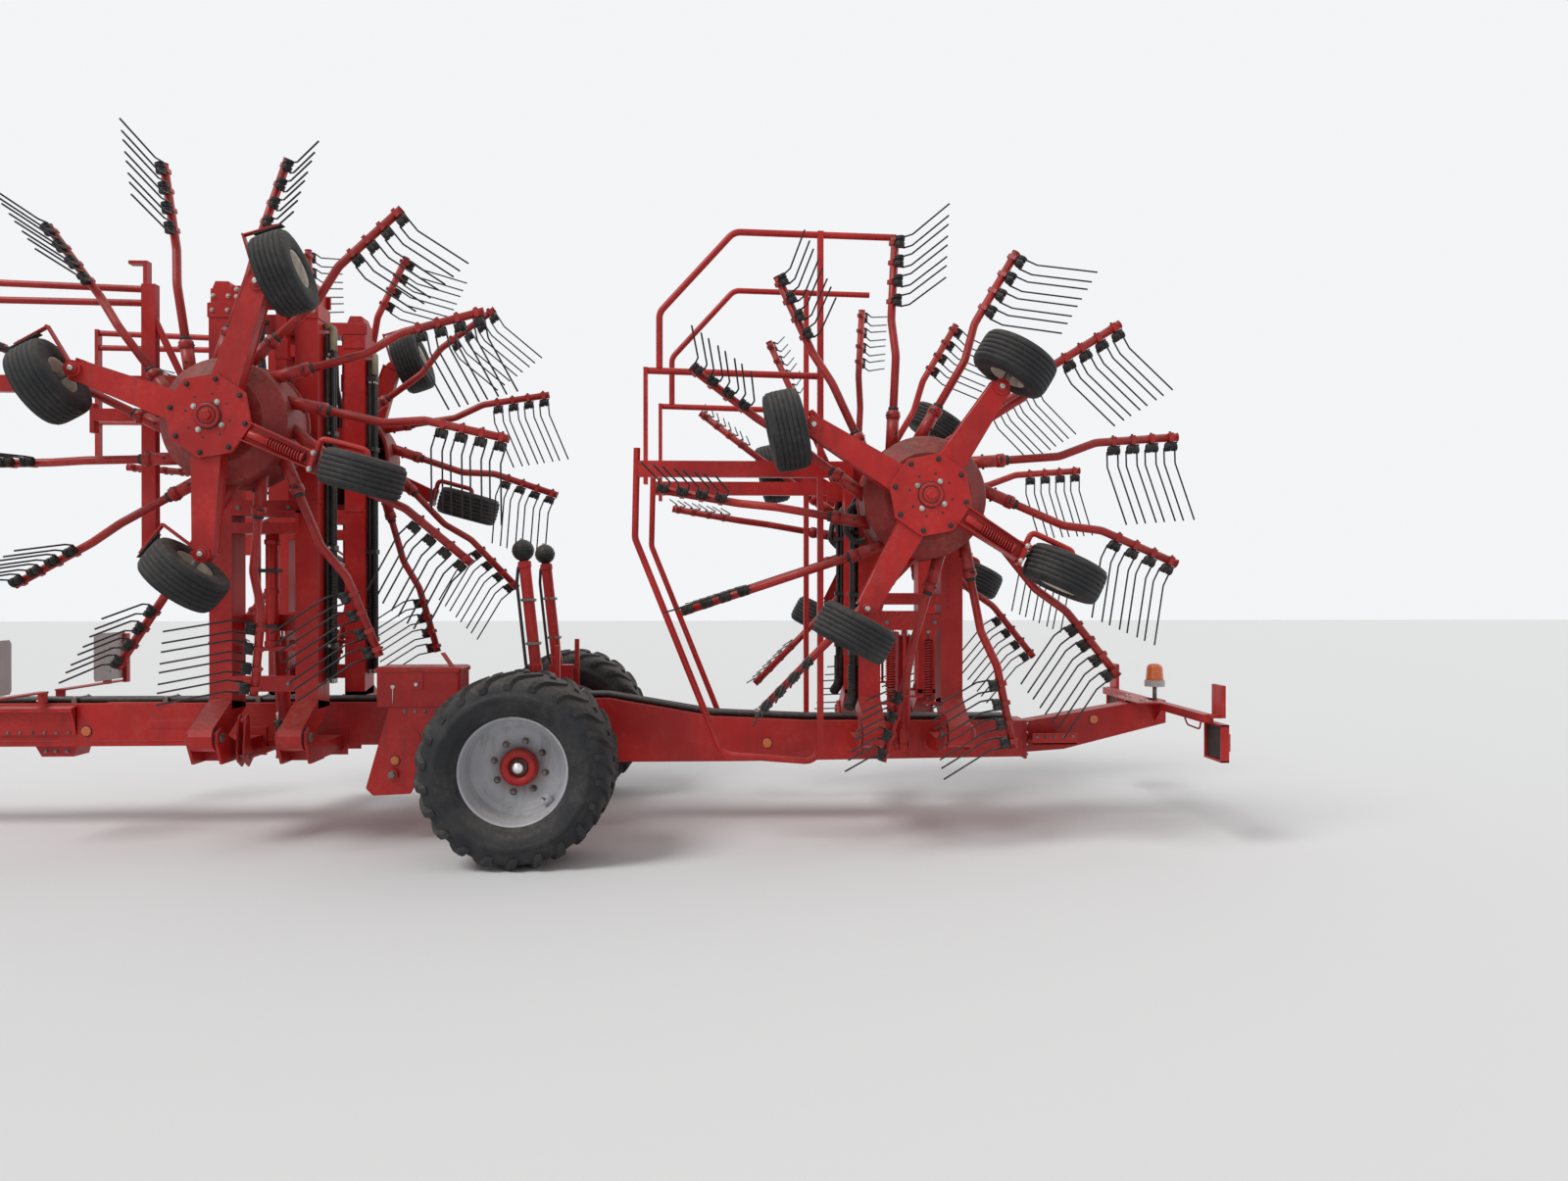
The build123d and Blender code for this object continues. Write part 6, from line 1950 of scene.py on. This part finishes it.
def accumulatorsShape(sizes):
    shape = Piece("accumulatorsDressed", redPaint)
    x, y, post, ballRadius = axle.x, sizes["y"], sizes["postY"], sizes["ballRadius"]
    foot, ball = [Vector((x + ahead, y, z)) for ahead, z in (sizes["foot"], sizes["ball"])]
    up, reach = (ball - foot).normalized(), (ball - foot).length
    shape.lathe([(0, 0.036), (0.030, 0.040), (0.060, 0.040), (0.064, 0.036), (reach - 0.110, 0.036),
                 (reach - 0.106, 0.041), (reach - 0.070, 0.041), (reach - 0.064, 0.024),
                 (reach - 0.040, 0.024)],
                foot, up, 28)
    for low, high in (((-0.090, y - 0.055, axle.z + carriage["tubeHalf"] + 0.0003),
                       (0.070, y + 0.055, 1.004)),
                      ((-0.070, 0.1900, 0.8215), (0.050, 0.390, 0.840)),
                      ((-0.070, 0.1305, 0.720), (0.050, 0.390, 0.8215)),
                      ((-0.127, post - 0.018, 0.740), (-0.097, post + 0.018, 1.180)),
                      ((-0.168, post - 0.030, 0.750), (-0.052, post + 0.030, 0.810))):
        shape.block(Vector(low) + Vector((x, 0, 0)), Vector(high) + Vector((x, 0, 0)))
    shape.bolts([(x + ahead, y + 0.055, z) for ahead in (-0.065, 0.045) for z in (0.700, 0.960)], (0, 1, 0),
                0.8)
    shape.use(coilBlack).lathe([
        (reach + ballRadius * math.sin(turn), max(ballRadius * math.cos(turn), 0.002))
        for turn in (math.radians(-80 + 16 * step) for step in range(11))
    ], foot, up, 32, smooth=True)
    shape.lathe([(reach - 0.004, ballRadius + 0.002), (reach + 0.004, ballRadius + 0.002)], foot, up, 32,
                smooth=True)
    shape.use(zincSteel).lathe([(reach + 0.062, 0.014), (reach + 0.076, 0.014)], foot, up, 6)
    beside = foot + Vector((0.058, 0.012, 0))
    shape.use(hoseRubber).tube([beside + Vector((-0.030, 0, -0.020)), beside + up * 0.06,
                                beside + up * (reach - 0.200),
                                ball + Vector((0.030, 0, -0.110)), ball + Vector((0.010, 0, -0.062))], 0.010,
                               sides=10, bend=0.05)
    shape.use(oldSteel)
    for share in (0.25, 0.6):
        middle = foot + up * (reach * share) + Vector((-0.002, 0.006, 0))
        shape.bar(middle - Vector((0, 0, 0.009)), middle + Vector((0, 0, 0.009)), 0.082, 0.084, (0, 1, 0))
    shape.mirror()
    return shape


# The four hoses along the beam, with their sleeves, end fittings and clamps
beamHose = {
    "radius": 0.016,
    "pitch": 0.0384,
    # the beam's top under the hoses, from the tail to the nose
    "stations": [(chassis["tailX"] + 0.120, 0.670), (axle.x - 1.690, 0.674), (axle.x - 1.060, 0.704),
                 (axle.x - 0.380, 0.824), (axle.x + 0.470, 0.824), (axle.x + 0.760, 0.800),
                 (chassis["noseX"] - 0.060, 0.800)],
    "clamps": [3.900, 3.300, 2.700, 2.050, 1.480, 0.900, 0.100, -1.150, -2.300, -3.050, -3.650],
}


def beamHosesShape(sizes):
    shape = Piece("beamHosesDressed", hoseRubber)
    radius = sizes["radius"]
    for lane in (-1.5, -0.5, 0.5, 1.5):
        line = [Vector((x, lane * sizes["pitch"], z + radius + 0.0003))
                for x, z in reversed(sizes["stations"])]
        shape.use(hoseRubber).tube(line, radius, sides=12, bend=0.30, steps=6)
        shape.use(zincSteel)
        for point, way in ((line[0], 1), (line[-1], -1)):
            shape.lathe([(0, radius + 0.001), (0.050, radius + 0.001), (0.054, radius - 0.004)], point,
                        (way, 0, 0), 12)
        shape.use(coilBlack)
        corrugated(shape, [line[0] - Vector((0.10, 0, 0)), line[0] - Vector((0.95, 0, 0))], radius + 0.0015,
                   bend=0)
    shape.use(oldSteel)
    for x in sizes["clamps"]:
        z = between(x, sizes["stations"])
        shape.block((x - 0.015, -0.088, z + 0.0005), (x + 0.015, 0.088, z + 0.036))
        shape.bolts([(x, y, z + 0.036) for y in (-0.080, 0.080)], (0, 0, 1), 0.5)
    return shape


for shape, slotName, node, bevel in (
        (beamShape(chassis), "frame_red", "chassis_beam", 0.004),
        (headstockShape(headstock), "frame_red", "headstock", 0.003),
        (standShape(stand), "stand_steel", "parking_stand", 0.003),
        (carriageShape(carriage), "frame_red", "carriage", 0.0035),
        (tailShape(tailFrame), "frame_red", "tail_frame", 0.003),
        (lampsShape(lamp), "lamp_red", "tail_lights", 0.002),
        (beaconShape(beacon), "lamp_amber", "beacon", 0.001),
        (boardsShape(board), "board", "front_boards", 0.0015),
        (toolboxShape(toolbox), "toolbox_red", "toolbox", 0.003),
        (accumulatorsShape(accumulator), "cylinder_red", "accumulators", 0.0025),
        (beamHosesShape(beamHose), "hose", "beam_hoses", 0.0)):
    fitOut(shape, "chassis", slotName, node, bevel=bevel)
print("chassis made")
# Bolt heads, one object for each body
finishes = {material.name: material for material in (zincSteel, oldSteel, socketIron, redPaint)}
for body, byFinish in boltPlaces.items():
    heads = [
        setCopies(f"bolts_{body}_{name}", boltPart, places, finishes[name])
        for name, places in byFinish.items()
    ]
    if len(heads) > 1:
        joinInto(heads[0], heads[1:])
    place(heads[0], body, "frame_red")
print("bolts set:", sum(len(places) for byFinish in boltPlaces.values() for places in byFinish.values()))
